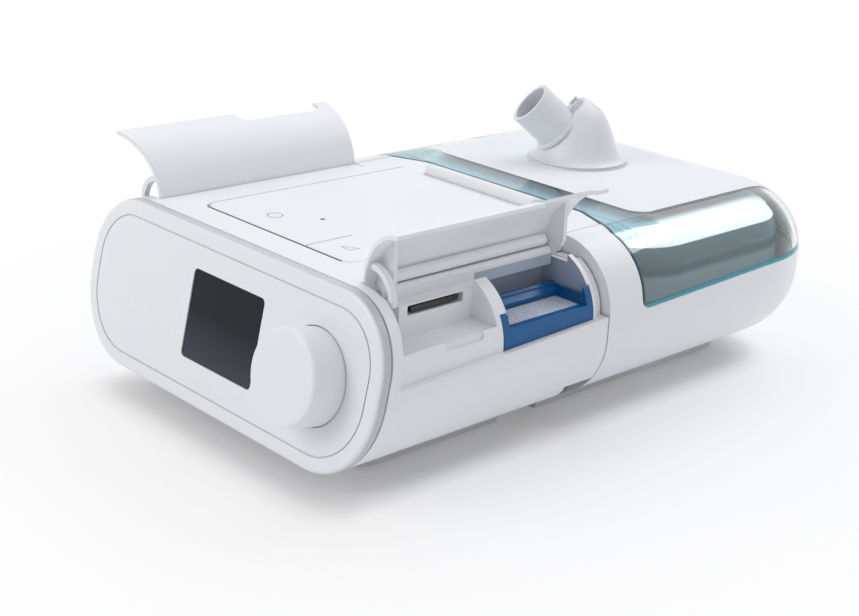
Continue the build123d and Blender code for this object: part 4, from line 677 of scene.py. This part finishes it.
# The lower edge, the joint where the white top lies on the clear skin, and the front edge.
climb_line = reckon(tree, "MULTIPLY_ADD", behind, edge_slope, window_low[2] + edge_line)
foot_edge = reckon(tree, "LESS_THAN", height, climb_line)
tinted_where(window_clear, foot_edge, edge_teal)
close = tree.nodes.new("ShaderNodeAmbientOcclusion")
close.samples = 6
close.inputs["Distance"].default_value = joint_reach
near = carried(tree, close.outputs["AO"], joint_open, (1.0, 0.0))
tinted_where(window_clear, near, edge_joint)
step_back = reckon(tree, "SUBTRACT", brow_outer, sideways)
step_back = reckon(tree, "DIVIDE", step_back, brow_outer - brow_inner, clamp=True)
front_line = reckon(tree, "MULTIPLY_ADD", step_back, brow_step, edge_line)
front_edge = reckon(tree, "LESS_THAN", behind, front_line)
tinted_where(window_clear, front_edge, edge_green)

# How clear it is, the faint waves of the moulding, and the colour of its thickness.
either = reckon(tree, "MAXIMUM", foot_edge, front_edge)
clear_part = reckon(tree, "MULTIPLY_ADD", either, -edge_body, 1.0)
clear_part = reckon(tree, "MULTIPLY_ADD", rear, -rear_body, clear_part, clamp=True)
tree.links.new(clear_part, shade.inputs["Transmission Weight"])
place = tree.nodes.new("ShaderNodeTexCoord").outputs["Object"]
raised(tree, speckle(tree, place, 45.0), 0.15, 0.0003)
stained = tree.nodes.new("ShaderNodeVolumeAbsorption")
stained.inputs["Color"].default_value = (0.20, 0.76, 0.80, 1)
stained.inputs["Density"].default_value = 10.0
finish = tree.nodes["Material Output"]
tree.links.new(stained.outputs["Volume"], finish.inputs["Volume"])

# The lamps shine through it onto the tank.
lit_through = tree.nodes.new("ShaderNodeBsdfTransparent")
lit_through.inputs["Color"].default_value = (0.93, 0.98, 1.0, 1)
rays = tree.nodes.new("ShaderNodeLightPath")
let_pass = tree.nodes.new("ShaderNodeMixShader")
tree.links.new(rays.outputs["Is Shadow Ray"], let_pass.inputs["Fac"])
tree.links.new(shade.outputs["BSDF"], let_pass.inputs[1])
tree.links.new(lit_through.outputs["BSDF"], let_pass.inputs[2])
tree.links.new(let_pass.outputs["Shader"], finish.inputs["Surface"])
dress("humidifier_window", window_clear)

# ---------------------------------------------------------------- water tank
# The tank is a smoky moulded tub, darker towards its rim, under a white lid with the chimney
# that leads up to the elbow; the lid is painted a lighter white than the shell, painted light
# seen through the window. It stands loose on the heater plate.
tank_low, tank_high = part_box("tank_base")
tub_clear = (0.30, 0.42, 0.47, 1)
tub_smoky = (0.028, 0.100, 0.130, 1)
smoke_from, smoke_full = 0.66, 0.72      # shares of the tub's height

lid_brightened_white = moulded_plastic("lid_brightened_white", (0.93, 0.94, 0.95), 0.35, 1500.0, 0.00005)
dress("tank_lid", lid_brightened_white)
tank_smoky = bpy.data.materials.new("tank_smoky")
tank_smoky.use_nodes = True
tree = tank_smoky.node_tree
shade = tree.nodes["Principled BSDF"]
shade.inputs["Roughness"].default_value = 0.16
shade.inputs["IOR"].default_value = 1.49
shade.inputs["Transmission Weight"].default_value = 0.35
height = across_along_up(tree)[2]
smoke = tree.nodes.new("ShaderNodeValToRGB")
smoke.color_ramp.elements[0].position = smoke_from
smoke.color_ramp.elements[0].color = tub_clear
smoke.color_ramp.elements[1].position = smoke_full
smoke.color_ramp.elements[1].color = tub_smoky
tree.links.new(carried(tree, height, (tank_low[2], tank_high[2])), smoke.inputs["Fac"])
tree.links.new(smoke.outputs["Color"], shade.inputs["Base Color"])
place = tree.nodes.new("ShaderNodeTexCoord").outputs["Object"]
raised(tree, speckle(tree, place, 60.0), 0.3, 0.0005)
dress("tank_base", tank_smoky)

# ---------------------------------------------------------------- heater and power inlet
# A flat steel plate warms the tank from below, with a small green control board under it.
# The power inlet is a dark socket set in the base's rear wall.
dress("heater_plate", plain_steel)
dress("heater_board", board_green)
dress("power_inlet", inner_dark)

# ---------------------------------------------------------------- elbow
# The hose elbow is a moulded bell on a spigot, painted a shade greyer than the shell as painted
# shade, and turns in a ring let into the white top, over a soft seal. A small plug-in connector
# for a heated hose sits on its collar.
elbow_shaded_white = moulded_plastic("elbow_shaded_white", (0.76, 0.775, 0.80), 0.42, 1500.0, 0.00005)
for name in ("elbow_ring", "outlet_elbow", "elbow_connector"):
    dress(name, elbow_shaded_white)
dress("elbow_seal", soft_black)

# ---------------------------------------------------------------- underside
# Each unit stands on its own grey tray, moulded with a rough grain and screwed to its shell
# from below, with soft feet let into it.
tray_grey = moulded_plastic("tray_grey", (0.60, 0.61, 0.63), 0.5, 1800.0, 0.0001)
dress("therapy_tray", tray_grey)
dress("humidifier_tray", tray_grey)
dress("base_screws", plain_steel)
dress("rubber_feet", soft_black)
